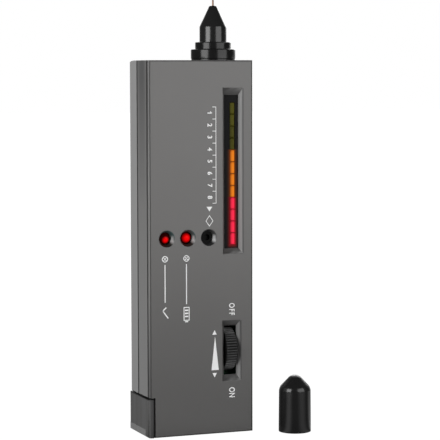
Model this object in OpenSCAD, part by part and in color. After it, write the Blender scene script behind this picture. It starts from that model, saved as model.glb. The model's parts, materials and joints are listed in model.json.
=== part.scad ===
// Hand-held diamond tester: a moulded two-shell case that stands on its end, with an LED bar,
// two lamps, a buzzer, a thumbwheel, a sprung probe on top, a battery door and a loose probe cap.
// Millimetres. Z is up, the front face looks along -Y, and the origin is the centre of the base.

/* [Case] */
// Width of the case across the seam
case_w = 47; // [46:0.5:60]
// Depth of the case from front face to back face
case_d = 25.5; // [25:0.5:34]
// Height of the case without the probe
case_h = 157.5; // [156:0.5:190]
// Thickness of the side, back and end walls
wall = 2; // [1.6:0.1:2.4]
// Thickness of the front face
face_t = 2.4; // [2:0.1:3]
// Depth of the front shell, from the front face to the seam
front_depth = 13.8; // [12.5:0.1:15]
// How far each side wall leans in from the seam to the face
draft = 0.3; // [0:0.05:0.5]
// Chamfer along the front edges
edge_front = 0.7; // [0.3:0.1:1.2]
// Chamfer along the rear edges
edge_rear = 1.6; // [0.6:0.1:2]
// Chamfer round the top and bottom ends
edge_end = 0.5; // [0.2:0.1:1]
// How far the top of the rear shell falls away towards the back
rear_fall = 0.7; // [0:0.1:1.2]
// Width of the groove that marks the seam
seam_w = 0.6; // [0.2:0.05:0.8]
// Depth of the groove that marks the seam
seam_deep = 0.7; // [0.2:0.05:0.8]
// Distance of the fine reveal line behind the front face
reveal_back = 2.3; // [1.8:0.1:4]
// Width of the fine reveal line
reveal_w = 0.5; // [0.2:0.05:0.6]
// Depth of the fine reveal line
reveal_deep = 0.7; // [0.2:0.05:0.8]

/* [Battery door] */
// Height of the door's side wall
door_h = 16.3; // [10:0.1:24]
// Thickness of the door's side wall
door_wall = 2.1; // [1.6:0.1:2.6]
// How far the door stands proud of the case side
door_proud = 0.3; // [0:0.05:0.6]
// Rounding of the door's two upright corners
door_round = 1.9; // [0.5:0.1:2]
// Gap between the door and the case round it
door_gap = 0.5; // [0.2:0.05:0.7]
// Thickness of the door's floor plate
plate_t = 2.2; // [1.8:0.1:3]
// Reach of the tongues on the floor plate into their grooves
tongue = 0.8; // [0.4:0.1:1]
// Height of the tongues
tongue_h = 1; // [0.6:0.1:1.2]
// Height of the raised foot band on the door's side
band_h = 3.2; // [1:0.1:5]
// Thickness of the raised foot band
band_t = 0.2; // [0.1:0.05:0.4]

/* [LED bar] */
// Number of LEDs of each of the three colours
leds_per_colour = 4; // [2:1:4]
// Pitch of the LEDs
led_pitch = 5; // [4:0.1:5]
// Width of one LED
led_w = 2.15; // [1.5:0.05:3]
// Gap between neighbouring LEDs
led_gap = 0.35; // [0.2:0.05:0.8]
// Centre of the LED column to the right of the case centre
bar_x = 14.75; // [14:0.05:15]
// Top of the highest LED below the top of the case
bar_drop = 17.6; // [16:0.1:19]
// Floor of the bar recess left of the LED column
bar_left = 2.8; // [1:0.1:3]
// Floor of the bar recess right of the LED column
bar_right = 1.55; // [1:0.05:2]
// Floor of the bar recess below the lowest LED
bar_below = 1.5; // [0.5:0.1:3]
// Floor of the bar recess above the highest LED
bar_above = 3.1; // [1:0.1:4]
// Spread of the recess bevels at the two sides
bar_side_bevel = 1.3; // [0.5:0.1:1.5]
// Spread of the recess bevel at the lower end
bar_low_bevel = 2.2; // [0.5:0.1:3]
// Spread of the recess bevel at the upper end
bar_top_bevel = 3.1; // [0.5:0.1:4]

/* [Lamps and buzzer] */
// Height of the row of three wells above the foot of the LED bar
well_rise = 3.5; // [0:0.1:8]
// First well to the left of the case centre
well_x = -15.45; // [-16:0.05:-14]
// Pitch of the wells
well_pitch = 9.35; // [8.6:0.05:9.5]
// Radius of a well at the front face
well_r = 3.5; // [3:0.1:4]
// Radius of a lamp
lamp_r = 2.5; // [1.5:0.1:2.5]
// Drop of a lamp's crown below the front face
lamp_drop = 1.5; // [0.8:0.1:2]
// Radius of the buzzer
buzzer_r = 5.5; // [4:0.1:5.8]

/* [Thumbwheel] */
// Distance of the wheel's axle in front of the circuit board
axle_ahead = 2.55; // [2.4:0.05:3.5]
// Thickness of the thumbwheel
wheel_t = 4.9; // [4:0.1:5]
// How far the wheel stands proud of the front face
wheel_proud = 1.3; // [0.8:0.1:2.4]
// Centre of the wheel to the right of the case centre
wheel_x = 13.4; // [13:0.1:13.8]
// Height of the wheel's axle
wheel_z = 35.1; // [32:0.1:38]
// Number of ribs round the wheel
rib_count = 48; // [36:1:80]
// Depth of the ribs
rib_depth = 0.35; // [0.15:0.05:0.5]
// Radius of the wheel's axle
axle_r = 1.5; // [1.2:0.1:2]
// Spread of the wheel recess bevels at the two sides
wheel_side_bevel = 1.4; // [0.5:0.1:1.8]
// Spread of the wheel recess bevels at the two ends
wheel_end_bevel = 2.5; // [0.5:0.1:3]
// Room above and below the wheel in its opening
wheel_room = 3; // [0.5:0.1:4]

/* [Battery] */
// Width of the battery block
battery_w = 26.5; // [24:0.1:26.5]
// Depth of the battery block
battery_d = 17.5; // [15:0.1:18]
// Height of the battery block
battery_h = 48.5; // [44:0.1:49]
// Distance between the two studs
stud_pitch = 12.7; // [11:0.1:13]

/* [Probe] */
// Probe axis to the right of the case centre
probe_x = 10.2; // [8:0.1:11]
// Radius of the collar's flange
flange_r = 9.45; // [8.5:0.05:10.5]
// Height of the collar's flange
flange_h = 4.7; // [3:0.1:6]
// Radius of the collar's upper ring
ring_r = 7.6; // [7:0.05:8.2]
// Height of the collar's upper ring
ring_h = 3; // [2:0.1:4]
// Radius of the nose
nose_r = 5.72; // [5.2:0.02:6]
// Height of the straight part of the nose
nose_h = 6.5; // [5:0.1:8]
// Height of the nose's cone
cone_h = 8.8; // [7:0.1:11]
// Radius of the nose at its upper end
cone_r = 1.5; // [1.3:0.05:2]
// Radius of the copper tip
tip_r = 0.38; // [0.3:0.02:0.45]
// Length of the tip that shows
tip_out = 2.7; // [1.8:0.1:3]
// Travel of the tip when it is pressed
tip_travel = 1; // [0.5:0.1:1.5]
// Radius of the stem that passes through the case top
stem_r = 6; // [5.2:0.1:6.4]

/* [Cap] */
// Place of the cap to the right of the case centre
cap_x = 39.6; // [36:0.1:60]
// Place of the cap in front of the case centre
cap_y = -19.5; // [-40:0.1:0]
// Height of the cap
cap_h = 24.2; // [23:0.1:30]
// Height of the cap's shoulder
cap_shoulder = 19; // [16:0.1:20]
// Thickness of the cap's side wall at the shoulder
cap_wall = 0.9; // [0.6:0.05:1.2]
// How much wider the cap is at its mouth than at its shoulder, on the radius
cap_flare = 0.15; // [0:0.05:0.6]
// Clearance between the cap and the nose
cap_clear = 0.1; // [0.05:0.01:0.3]

/* [Fits] */
// Clearance of a piece that is dropped into its seat
seat_clear = 0.1; // [0.05:0.01:0.2]
// Clearance round a piece that slides or turns close to another
run_clear = 0.3; // [0.2:0.05:0.5]
// Clearance of a shaft in its bearing, on the radius
shaft_clear = 0.05; // [0.02:0.01:0.1]

/* [Hidden] */
$fn = 64;

// Overshoot of a cut past the face that it opens
over = 1;

// Case: half sizes, inner faces and the seam
half_w = case_w / 2;
face_y = -case_d / 2;
back_y = case_d / 2;
seam_y = face_y + front_depth;
inner_x = half_w - draft - wall;
inner_front = face_y + face_t;
inner_back = back_y - wall;
inner_top = case_h - wall;
floor_lip = 0.3;
rear_level = 0.65 * (case_d - front_depth);

// Door and battery bay
door_in = -half_w + door_wall;
bay_left = door_in + door_gap;
door_out = -half_w - door_proud;
door_top = door_h + door_gap;
battery_play = 0.4;
battery_x = bay_left + battery_play;
battery_right = battery_x + battery_w;
battery_mid = battery_x + battery_w / 2;
battery_z = plate_t + battery_play;
battery_top = battery_z + battery_h;
partition_x = battery_right + battery_play;
partition_t = 1;
plate_end = partition_x - run_clear;
tongue_z = (plate_t - tongue_h) / 2;
tongue_slack = run_clear / 3;
tongue_end_gap = run_clear / 2;
rib_t = 1.2;
rib_end_gap = 2;
bay_rib_xs = [battery_mid - battery_w / 4, battery_mid + battery_w / 4];
bay_rib_z = battery_z + rib_end_gap;
bay_rib_h = battery_h - 2 * rib_end_gap;

// Circuit board, carried on bosses behind the front face and a little ahead of the probe axis
board_t = 1.6;
board_ahead = 2.2;
board_side_gap = 0.7;
snap_room = 6.9;
board_front = -board_ahead;
board_back = board_front + board_t;
board_side = inner_x - board_side_gap;
board_low = battery_top + snap_room;
boss_r = 2.2;
board_screw_r = 0.9;
board_screw_head_r = 1.9;
board_screw_head_h = 1.3;
board_screw_length = 7;

// LED bar and its recess
led_count = 3 * leds_per_colour;
bar_len = led_count * led_pitch;
bar_z = case_h - bar_drop - bar_len;
bar_floor_x = bar_x - led_w / 2 - bar_left;
bar_floor_w = bar_left + led_w + bar_right;
bar_floor_z = bar_z - bar_below;
bar_floor_h = bar_below + bar_len + bar_above;
holder_rim = 0.5;
holder_margin = 2;
well_z = bar_z + well_rise;
board_top = bar_floor_z + bar_floor_h + holder_margin;

// Case posts and screws
post_r = 2.8;
post_gap = 0.2;
post_margin = 0.8;
post_x = inner_x - post_r - post_gap;
post_top = board_top + post_r + post_margin;
post_mid = board_low + post_r + 2 * post_margin;
post_low = wall + post_r + post_gap;
posts = [[-post_x, post_top], [post_x, post_top], [-post_x, post_mid], [post_x, post_low]];
notch_x = post_margin + post_r - post_x;
notch_z = post_mid + post_r + post_margin;
case_screw_r = 1.25;
case_screw_head_r = 2.1;
case_screw_head_h = 1.6;
case_screw_floor = 4.5;
case_screw_seat = seam_y + case_screw_floor;
case_screw_bite = 7;
case_screw_tip = seam_y - case_screw_bite;
pilot_clear = 0.05;
pilot_extra = 1;
boss_left = boss_r - board_side + post_margin;
boss_right = well_x + 2 * well_pitch;
boss_edge = 4;
boss_high = board_top - boss_edge;
boss_mid = well_z + buzzer_r + boss_r + post_margin;
bosses = [[boss_left, boss_high], [boss_right, boss_high], [boss_left, boss_mid], [boss_right, boss_mid]];
slot_width = 0.25;
slot_length = 1.3;

// Wells, lamps and buzzer
lamp_hole_r = lamp_r + seat_clear;
lamp_flange_w = 0.4;
lamp_flange_r = lamp_r + lamp_flange_w;
lamp_crown = face_y + lamp_drop;
lamp_height = 6.2;
lamp_base = lamp_crown + lamp_height;
lamp_flange_h = 1;
lamp_leg_r = 0.3;
lamp_leg_pitch = 2.54;
sound_r = 1.3;
sound_deep = 1.5;

// Thumbwheel, its opening and its potentiometer
wheel_y = board_front - axle_ahead;
wheel_r = wheel_y - face_y + wheel_proud;
wheel_left = wheel_x - wheel_t / 2;
wheel_right = wheel_x + wheel_t / 2;
wheel_side_clear = run_clear + seat_clear;
wheel_chord = sqrt(wheel_r * wheel_r - pow(wheel_y - inner_front, 2));
wheel_floor_w = wheel_t + 2 * wheel_side_clear;
wheel_floor_h = 2 * (wheel_chord + wheel_room);
board_slot_side = 0.5;
board_slot_h = 2 * (sqrt(wheel_r * wheel_r - pow(board_front - wheel_y, 2)) + 2 * board_slot_side);
pot_x = wheel_right + 2 * run_clear;
pot_w = board_side - pot_x;
pot_h = 10;
pot_front = inner_front + seat_clear;
wheel_screw_r = 0.8;
wheel_screw_head_r = 2.2;
wheel_screw_head_h = 1;
wheel_screw_length = 4;
board_strip_x = partition_x + partition_t + run_clear;
board_strip_low = post_low + post_r + 2 * post_margin;

// Battery studs, snap and leads
stud_r = 2.8;
socket_stud_r = 3.8;
stud_h = 2.6;
snap_w = 23;
snap_d = 13;
snap_h = 3.4;
snap_z = battery_top + run_clear;
battery_lead_r = 0.75;
battery_lead_y = 3;
battery_lead_bend = 2;
battery_lead_rise = 4;
battery_lead_z = board_low + battery_lead_rise;
battery_lead_xs = [battery_mid - stud_pitch / 2, battery_mid + stud_pitch / 2];

// Touch plate on the back and the pin that joins it to the board
touch_w = 14;
touch_h = 46;
touch_t = 0.6;
touch_rise = 24;
touch_z = bar_z + touch_rise;
stud_pin_r = 1.2;
stud_pin_out = 0.7;
stud_pin_in = inner_back - stud_pin_out;
contact_r = 0.9;

// Parts on the back of the board
chip_w = 6.4;
chip_h = 22;
chip_t = 3.4;
chip_mark_r = 0.9;
chip_mark_deep = 0.4;
chip_gap = 1.4;
chip_left = boss_left + board_screw_head_r + chip_gap + chip_w / 2;
chip_right = 7;
chip_up = 16;
chip_down = 9;
chip_beside = 6;
chip_places = [[chip_left, touch_z + chip_up], [chip_left, touch_z - chip_down],
    [chip_right, touch_z + chip_beside]];
can_r = 3.15;
can_h = 8;
can_bevel = 0.4;
can_gap = 1.65;
can_x = chip_left + chip_w / 2 + can_gap + can_r;
can_drop = 4;
can_pitch = 8;
can_zs = [boss_high - can_drop, boss_high - can_drop - can_pitch];
trimmer_side = 6.6;
trimmer_h = 4;
trimmer_x = 8;
trimmer_drop = 18;
trimmer_pitch = 9;
trimmer_zs = [touch_z - trimmer_drop, touch_z - trimmer_drop - trimmer_pitch];
trimmer_screw_r = 1.6;
trimmer_screw_deep = 0.6;

// Probe heights
nut_h = 3;
nut_flats = 15;
stem_below = 0.5;
stem_low = inner_top - nut_h - stem_below;
flange_under = 0.6;
flange_slope = 0.2;
flange_foot_in = 0.2;
flange_foot_r = flange_r - flange_foot_in;
collar_bevel = 0.3;
flange_top = case_h + flange_h;
ring_top = flange_top + ring_h;
nose_top = ring_top + nose_h;
cone_top = nose_top + cone_h;
tip_top = cone_top + tip_out;
spigot_r = 4.45;
spigot_length = 5.2;
spigot_low = ring_top - spigot_length;
nose_bore_r = 2;
guide_hole_r = 0.85;
guide_length = 5.3;
press_clear = 0.02;
stop_top = cone_top - guide_length;
stop_h = 1.3;
stop_face = stop_top - seat_clear;
stop_low = stop_face - stop_h;
stop_r = nose_bore_r - run_clear;
plug_inset = 0.5;
plug_low = spigot_low + plug_inset;
plug_rise = 0.8;
plug_top = ring_top + plug_rise;
bead_r = 0.8;
bead_h = 1.5;
bead_room = 0.7;
bead_low = plug_top + tip_travel + bead_room;
tip_low = bead_low + bead_h;
tip_point_h = 0.6;
tip_point_r = 0.2;
spring_r = 1.4;
spring_wire_r = 0.17;
spring_low = plug_top + spring_wire_r + seat_clear;
spring_climb = stop_low - spring_wire_r - seat_clear - spring_low;
spring_turns = 9;
spring_steps = 14;
spring_sides = 6;
probe_lead_r = 0.3;
probe_lead_y = 1.3;
probe_lead_bend = 1.2;
probe_lead_pitch = 1.4;
probe_lead_drop = 1.5;
probe_lead_z = board_top - probe_lead_drop;

// Cap profile
cap_bore_r = nose_r + cap_clear;
cap_shoulder_r = cap_bore_r + cap_wall;
cap_mouth_r = cap_shoulder_r + cap_flare;
cap_rim_h = 1.2;
cap_round = 2;
cap_crown = 3.8;
cap_room = 1;
cap_straight = nose_h + cap_room;
cap_hollow_r = cone_r + cap_room;
cap_hollow_top = nose_h + cone_h + tip_out + cap_room;
cap_tip_r = tip_r + cap_room;
round_steps = 6;

// Points on an arc of radius r round [x, z], from angle a to angle b
function arc(x, z, r, a, b) =
    [for (i = [0 : round_steps]) let (t = a + (b - a) * i / round_steps) [x + r * cos(t), z + r * sin(t)]];

// A slab whose outline lies in the XZ plane, from depth y0 to y1
module upright(y0, y1) {
    translate([0, y1, 0]) rotate([90, 0, 0]) linear_extrude(y1 - y0) children();
}

// A slab whose outline lies in the YZ plane, from x0 to x1
module crosswise(x0, x1) {
    translate([x0, 0, 0]) rotate([90, 0, 90]) linear_extrude(x1 - x0) children();
}

// A round bar along Y from y0 to y1 at [x, z]
module bar_y(x, z, y0, y1, r) {
    translate([x, y1, z]) rotate([90, 0, 0]) cylinder(h = y1 - y0, r = r);
}

// A round bar along X from x0 to x1 at [y, z]
module bar_x_way(x0, x1, y, z, r) {
    translate([x0, y, z]) rotate([0, 90, 0]) cylinder(h = x1 - x0, r = r);
}

// A box from one corner to the other
module block(low, high) {
    translate(low) cube(high - low);
}

// Cut that narrows from the front face to the floor of the face, with a bevel on each side
module recess(x, w, z, h, side, low, top) {
    spread_side = side / (face_t - floor_lip) * over;
    spread_low = low / (face_t - floor_lip) * over;
    spread_top = top / (face_t - floor_lip) * over;
    floor_y = inner_front - floor_lip;
    intersection() {
        translate([0, 0, z - low - over - spread_low])
            linear_extrude(h + low + top + 2 * over + spread_low + spread_top)
                polygon([[x, inner_front + over], [x, floor_y], [x - side - spread_side, face_y - over],
                    [x + w + side + spread_side, face_y - over], [x + w, floor_y], [x + w, inner_front + over]]);
        crosswise(x - side - over - spread_side, x + w + side + over + spread_side)
            polygon([[inner_front + over, z], [floor_y, z], [face_y - over, z - low - spread_low],
                [face_y - over, z + h + top + spread_top], [floor_y, z + h], [inner_front + over, z + h]]);
    }
}

// Cut for a lamp: a cone at the front face that ends in a round hole
module well() {
    spread = (well_r - lamp_hole_r) / (face_t - floor_lip) * over;
    rotate_extrude() polygon([[0, -over], [well_r + spread, -over], [lamp_hole_r, face_t - floor_lip],
        [lamp_hole_r, face_t + over], [0, face_t + over]]);
}

// Everything behind the door's outline, taken out of both shells
module door_room() {
    block([-case_w, -case_d, -over], [bay_left, case_d, door_top]);
    block([bay_left - over, inner_front, -over], [partition_x, inner_back, battery_z]);
    block([bay_left - over, inner_front - tongue - tongue_end_gap, tongue_z - tongue_slack],
        [partition_x, inner_back + tongue + tongue_end_gap, tongue_z + tongue_h + tongue_slack]);
}

// Hole for the probe's stem in the case top
module stem_hole() {
    translate([probe_x, 0, inner_top - over]) cylinder(h = wall + 2 * over, r = stem_r + seat_clear);
}

// Half of the case outline in plan, for the front shell
module front_plan() {
    slot_rear = face_y + reveal_back + reveal_w / 2;
    slot_front = face_y + reveal_back - reveal_w / 2;
    sides = [[half_w - seam_deep, seam_y], [half_w - seam_deep, seam_y - seam_w / 2],
        [half_w, seam_y - seam_w / 2], [half_w - draft, slot_rear], [half_w - draft - reveal_deep, slot_rear],
        [half_w - draft - reveal_deep, slot_front], [half_w - draft, slot_front],
        [half_w - draft, face_y + edge_front], [half_w - draft - edge_front, face_y]];
    mirrored = [for (i = [len(sides) - 1 : -1 : 0]) [-sides[i][0], sides[i][1]]];
    polygon(concat(sides, mirrored));
}

// Half of the case outline in plan, for the rear shell
module rear_plan() {
    sides = [[half_w - seam_deep, seam_y], [half_w - seam_deep, seam_y + seam_w / 2],
        [half_w, seam_y + seam_w / 2], [half_w - draft, back_y - edge_rear],
        [half_w - draft - edge_rear, back_y]];
    mirrored = [for (i = [len(sides) - 1 : -1 : 0]) [-sides[i][0], sides[i][1]]];
    polygon(concat(sides, mirrored));
}

// Front shell seen from the side
module front_side() {
    polygon([[seam_y, 0], [face_y + edge_end, 0], [face_y, edge_end], [face_y, case_h - edge_end],
        [face_y + edge_end, case_h], [seam_y - seam_w / 2, case_h],
        [seam_y - seam_w / 2, case_h - seam_deep], [seam_y, case_h - seam_deep]]);
}

// Rear shell seen from the side
module rear_side() {
    polygon([[seam_y, 0], [back_y - edge_end, 0], [back_y, edge_end],
        [back_y, case_h - edge_rear - rear_fall], [back_y - edge_rear, case_h - rear_fall],
        [back_y - rear_level / 2, case_h - rear_fall / 4], [back_y - rear_level, case_h],
        [seam_y + seam_w / 2, case_h],
        [seam_y + seam_w / 2, case_h - seam_deep], [seam_y, case_h - seam_deep]]);
}

// Moulded front half of the case
module front_shell() {
    color([0.34, 0.34, 0.33]) difference() {
        union() {
            difference() {
                intersection() {
                    linear_extrude(case_h) front_plan();
                    crosswise(-case_w, case_w) front_side();
                }
                block([-inner_x, inner_front, wall], [inner_x, seam_y + over, inner_top]);
            }
            for (p = posts) bar_y(p[0], p[1], inner_front - over, seam_y, post_r);
            for (p = bosses) bar_y(p[0], p[1], inner_front - over, board_front, boss_r);
            block([partition_x, inner_front - over, wall - over],
                [partition_x + partition_t, seam_y, battery_top]);
            for (x = bay_rib_xs)
                block([x - rib_t / 2, inner_front - over, bay_rib_z],
                    [x + rib_t / 2, -battery_d / 2 - seat_clear, bay_rib_z + bay_rib_h]);
        }
        recess(bar_floor_x, bar_floor_w, bar_floor_z, bar_floor_h,
            bar_side_bevel, bar_low_bevel, bar_top_bevel);
        recess(wheel_x - wheel_floor_w / 2, wheel_floor_w, wheel_z - wheel_floor_h / 2, wheel_floor_h,
            wheel_side_bevel, wheel_end_bevel, wheel_end_bevel);
        for (i = [0 : 2]) translate([well_x + i * well_pitch, face_y, well_z]) rotate([-90, 0, 0]) well();
        for (p = posts)
            bar_y(p[0], p[1], case_screw_tip - pilot_extra, seam_y + over, case_screw_r + pilot_clear);
        for (p = bosses)
            bar_y(p[0], p[1], board_back - board_screw_length - pilot_extra / 2,
                board_front + over, board_screw_r + pilot_clear);
        door_room();
        stem_hole();
    }
}

// Moulded rear half of the case
module rear_shell() {
    color([0.36, 0.36, 0.35]) difference() {
        union() {
            difference() {
                intersection() {
                    linear_extrude(case_h) rear_plan();
                    crosswise(-case_w, case_w) rear_side();
                }
                block([-inner_x, seam_y - over, wall], [inner_x, inner_back, inner_top]);
            }
            for (p = posts) bar_y(p[0], p[1], seam_y, inner_back + over, post_r);
            block([partition_x, seam_y, wall - over],
                [partition_x + partition_t, inner_back + over, battery_top]);
            for (x = bay_rib_xs)
                block([x - rib_t / 2, battery_d / 2 + seat_clear, bay_rib_z],
                    [x + rib_t / 2, inner_back + over, bay_rib_z + bay_rib_h]);
        }
        for (p = posts) {
            bar_y(p[0], p[1], seam_y - over, back_y, case_screw_r + seat_clear);
            bar_y(p[0], p[1], case_screw_seat, back_y + over, case_screw_head_r + seat_clear);
        }
        block([-touch_w / 2, back_y - touch_t, touch_z - touch_h / 2],
            [touch_w / 2, back_y + over, touch_z + touch_h / 2]);
        bar_y(0, touch_z, inner_back - over, back_y, stud_pin_r + seat_clear);
        door_room();
        stem_hole();
    }
}

// Sliding door: the lower left side of the case and the floor under the battery
module battery_door() {
    wall_mid = (door_out + door_in) / 2;
    color([0.27, 0.27, 0.27]) {
        intersection() {
            linear_extrude(door_h) {
                translate([door_out + door_round, face_y])
                    square([door_in - door_out - door_round, case_d]);
                translate([door_out, face_y + door_round])
                    square([door_in - door_out, case_d - 2 * door_round]);
                for (y = [face_y + door_round, back_y - door_round])
                    translate([door_out + door_round, y]) circle(door_round);
            }
            upright(-case_d, case_d)
                polygon([[door_out + edge_end, 0], [door_in, 0], [door_in, door_h],
                    [door_out + edge_end / 2, door_h], [door_out, door_h - edge_end / 2],
                    [door_out, edge_end]]);
        }
        block([door_out - band_t, face_y + 2 * door_round, edge_end], [wall_mid, back_y - door_round, band_h]);
        block([wall_mid, inner_front + tongue_end_gap, 0], [plate_end, inner_back - tongue_end_gap, plate_t]);
        block([door_in - over / 2, inner_front - tongue + tongue_end_gap, tongue_z],
            [plate_end, inner_back + tongue - tongue_end_gap, tongue_z + tongue_h]);
    }
}

// Screw along Y with its tip at y0, the underside of its head at y1 and a crossed slot
module screw_y(x, z, y0, y1, r, head_r, head_h) {
    difference() {
        union() {
            bar_y(x, z, y0, y1 + head_h / 2, r);
            bar_y(x, z, y1, y1 + head_h, head_r);
        }
        for (a = [0, 90]) translate([x, y1 + head_h, z]) rotate([0, a, 0])
            cube([head_r * slot_length, head_h, head_r * slot_width], center = true);
    }
}

// Four self-tapping screws that hold the two shells together
module case_screws() {
    color("silver") for (p = posts)
        screw_y(p[0], p[1], case_screw_tip, case_screw_seat,
            case_screw_r, case_screw_head_r, case_screw_head_h);
}

// Board with a slot for the wheel and a notch for the case post
module circuit_board() {
    color([0.1, 0.35, 0.2]) difference() {
        upright(board_front, board_back)
            polygon([[-board_side, notch_z], [notch_x, notch_z], [notch_x, board_low],
                [board_strip_x, board_low], [board_strip_x, board_strip_low], [board_side, board_strip_low],
                [board_side, board_top], [-board_side, board_top]]);
        block([wheel_left - board_slot_side, board_front - over, wheel_z - board_slot_h / 2],
            [wheel_right + board_slot_side, board_back + over, wheel_z + board_slot_h / 2]);
        for (p = bosses) bar_y(p[0], p[1], board_front - over, board_back + over, board_screw_r + seat_clear);
    }
}

// Four small screws that hold the board on its bosses
module board_screws() {
    color("silver") for (p = bosses)
        screw_y(p[0], p[1], board_back - board_screw_length, board_back,
            board_screw_r, board_screw_head_r, board_screw_head_h);
}

// Driver and amplifier chips on the back of the board
module chips() {
    chip_face = board_back + chip_t;
    color([0.08, 0.08, 0.09]) for (p = chip_places) difference() {
        block([p[0] - chip_w / 2, board_back, p[1] - chip_h / 2],
            [p[0] + chip_w / 2, chip_face, p[1] + chip_h / 2]);
        bar_y(p[0], p[1] + chip_h / 2, chip_face - chip_mark_deep, chip_face + over, chip_mark_r);
    }
}

// Electrolytic capacitors on the back of the board
module capacitors() {
    color([0.15, 0.18, 0.3]) for (z = can_zs)
        translate([can_x, board_back, z]) rotate([-90, 0, 0]) rotate_extrude()
            polygon([[0, 0], [can_r, 0], [can_r, can_h - can_bevel], [can_r - can_bevel, can_h], [0, can_h]]);
}

// Two calibration trimmers on the back of the board
module trimmers() {
    half = trimmer_side / 2;
    top = board_back + trimmer_h;
    color([0.15, 0.3, 0.6]) for (z = trimmer_zs) difference() {
        block([trimmer_x - half, board_back, z - half], [trimmer_x + half, top, z + half]);
        bar_y(trimmer_x, z, top - trimmer_screw_deep, top + over, trimmer_screw_r);
    }
}

// Room of one LED counted from the bottom of the bar, with a clearance round it
module led_block(i, y0, y1, clear) {
    block([bar_x - led_w / 2 - clear, y0, bar_z + i * led_pitch + led_gap / 2 - clear],
        [bar_x + led_w / 2 + clear, y1, bar_z + (i + 1) * led_pitch - led_gap / 2 + clear]);
}

// Black holder that carries the LEDs behind the recess in the front face
module bar_holder() {
    color([0.1, 0.1, 0.11]) difference() {
        block([bar_floor_x - holder_rim, inner_front, bar_floor_z - holder_rim],
            [bar_floor_x + bar_floor_w + holder_rim, board_front, bar_floor_z + bar_floor_h + holder_rim]);
        for (i = [0 : led_count - 1]) led_block(i, inner_front - over, board_front + over, seat_clear);
    }
}

// One colour of LEDs, starting with the given one
module bar_leds(first) {
    for (i = [first : first + leds_per_colour - 1]) led_block(i, inner_front + seat_clear, board_front, 0);
}

module red_bar_leds() {
    color([0.95, 0.15, 0.25]) bar_leds(0);
}

module orange_bar_leds() {
    color([0.95, 0.55, 0.1]) bar_leds(leds_per_colour);
}

module green_bar_leds() {
    color([0.3, 0.3, 0.1]) bar_leds(2 * leds_per_colour);
}

// Round lamp with a domed crown, a flange and two legs to the board
module lamp(x) {
    color([0.9, 0.1, 0.12]) translate([x, 0, well_z]) {
        difference() {
            translate([0, lamp_crown + lamp_r, 0]) sphere(lamp_r);
            block([-2 * lamp_r, lamp_crown + lamp_r, -2 * lamp_r], [2 * lamp_r, lamp_base, 2 * lamp_r]);
        }
        bar_y(0, 0, lamp_crown + lamp_r, lamp_base, lamp_r);
        bar_y(0, 0, lamp_base - lamp_flange_h, lamp_base, lamp_flange_r);
        for (s = [-1, 1]) bar_y(s * lamp_leg_pitch / 2, 0, lamp_base - over / 2, board_front, lamp_leg_r);
    }
}

module ready_lamp() {
    lamp(well_x);
}

module battery_lamp() {
    lamp(well_x + well_pitch);
}

// Buzzer can behind the third well, with its sound hole
module buzzer() {
    x = well_x + 2 * well_pitch;
    color([0.06, 0.06, 0.06]) difference() {
        bar_y(x, well_z, inner_front + seat_clear, board_front, buzzer_r);
        bar_y(x, well_z, inner_front - over, inner_front + seat_clear + sound_deep, sound_r);
    }
}

// Body of the potentiometer beside the wheel
module potentiometer() {
    color([0.12, 0.12, 0.14]) difference() {
        block([pot_x, pot_front, wheel_z - pot_h / 2], [pot_x + pot_w, board_front, wheel_z + pot_h / 2]);
        bar_x_way(pot_x - over, pot_x + pot_w + over, wheel_y, wheel_z, axle_r + shaft_clear);
    }
}

// Axle that the wheel turns, running in the potentiometer
module pot_shaft() {
    color("silver") difference() {
        bar_x_way(wheel_left, pot_x + pot_w, wheel_y, wheel_z, axle_r);
        bar_x_way(wheel_left - over, wheel_left + wheel_screw_length + pilot_extra / 2, wheel_y, wheel_z,
            wheel_screw_r + pilot_clear);
    }
}

// Ribbed thumbwheel with bevelled rims
module volume_wheel() {
    rim_bevel = 0.3;
    ribs = [for (i = [0 : 2 * rib_count - 1])
        let (r = wheel_r - (i % 2) * rib_depth, a = 180 * i / rib_count)
            each [[r * cos(a - 45 / rib_count), r * sin(a - 45 / rib_count)],
                [r * cos(a + 45 / rib_count), r * sin(a + 45 / rib_count)]]];
    color([0.05, 0.05, 0.05]) translate([wheel_left, wheel_y, wheel_z]) rotate([0, 90, 0]) difference() {
        intersection() {
            linear_extrude(wheel_t) polygon(ribs);
            rotate_extrude() polygon([[0, 0], [wheel_r - rim_bevel, 0], [wheel_r, rim_bevel],
                [wheel_r, wheel_t - rim_bevel], [wheel_r - rim_bevel, wheel_t], [0, wheel_t]]);
        }
        translate([0, 0, -over]) cylinder(h = wheel_t + 2 * over, r = axle_r + press_clear);
    }
}

// Screw that holds the wheel on its axle
module wheel_screw() {
    color("silver") difference() {
        union() {
            bar_x_way(wheel_left - wheel_screw_head_h, wheel_left, wheel_y, wheel_z, wheel_screw_head_r);
            bar_x_way(wheel_left - over / 2, wheel_left + wheel_screw_length, wheel_y, wheel_z, wheel_screw_r);
        }
        translate([wheel_left - wheel_screw_head_h, wheel_y, wheel_z])
            cube([wheel_screw_head_h, wheel_screw_head_r * slot_width, 3 * wheel_screw_head_r], center = true);
    }
}

// Nine volt block
module battery() {
    round_r = 2;
    color([0.2, 0.2, 0.22]) translate([battery_mid, 0, battery_z]) linear_extrude(battery_h) {
        square([battery_w, battery_d - 2 * round_r], center = true);
        square([battery_w - 2 * round_r, battery_d], center = true);
        for (x = [-1, 1], y = [-1, 1])
            translate([x * (battery_w / 2 - round_r), y * (battery_d / 2 - round_r)]) circle(round_r);
    }
}

// The battery's two studs
module battery_terminals() {
    color("silver") {
        translate([battery_mid - stud_pitch / 2, 0, battery_top]) cylinder(h = stud_h, r = stud_r);
        translate([battery_mid + stud_pitch / 2, 0, battery_top]) cylinder(h = stud_h, r = socket_stud_r);
    }
}

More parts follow.
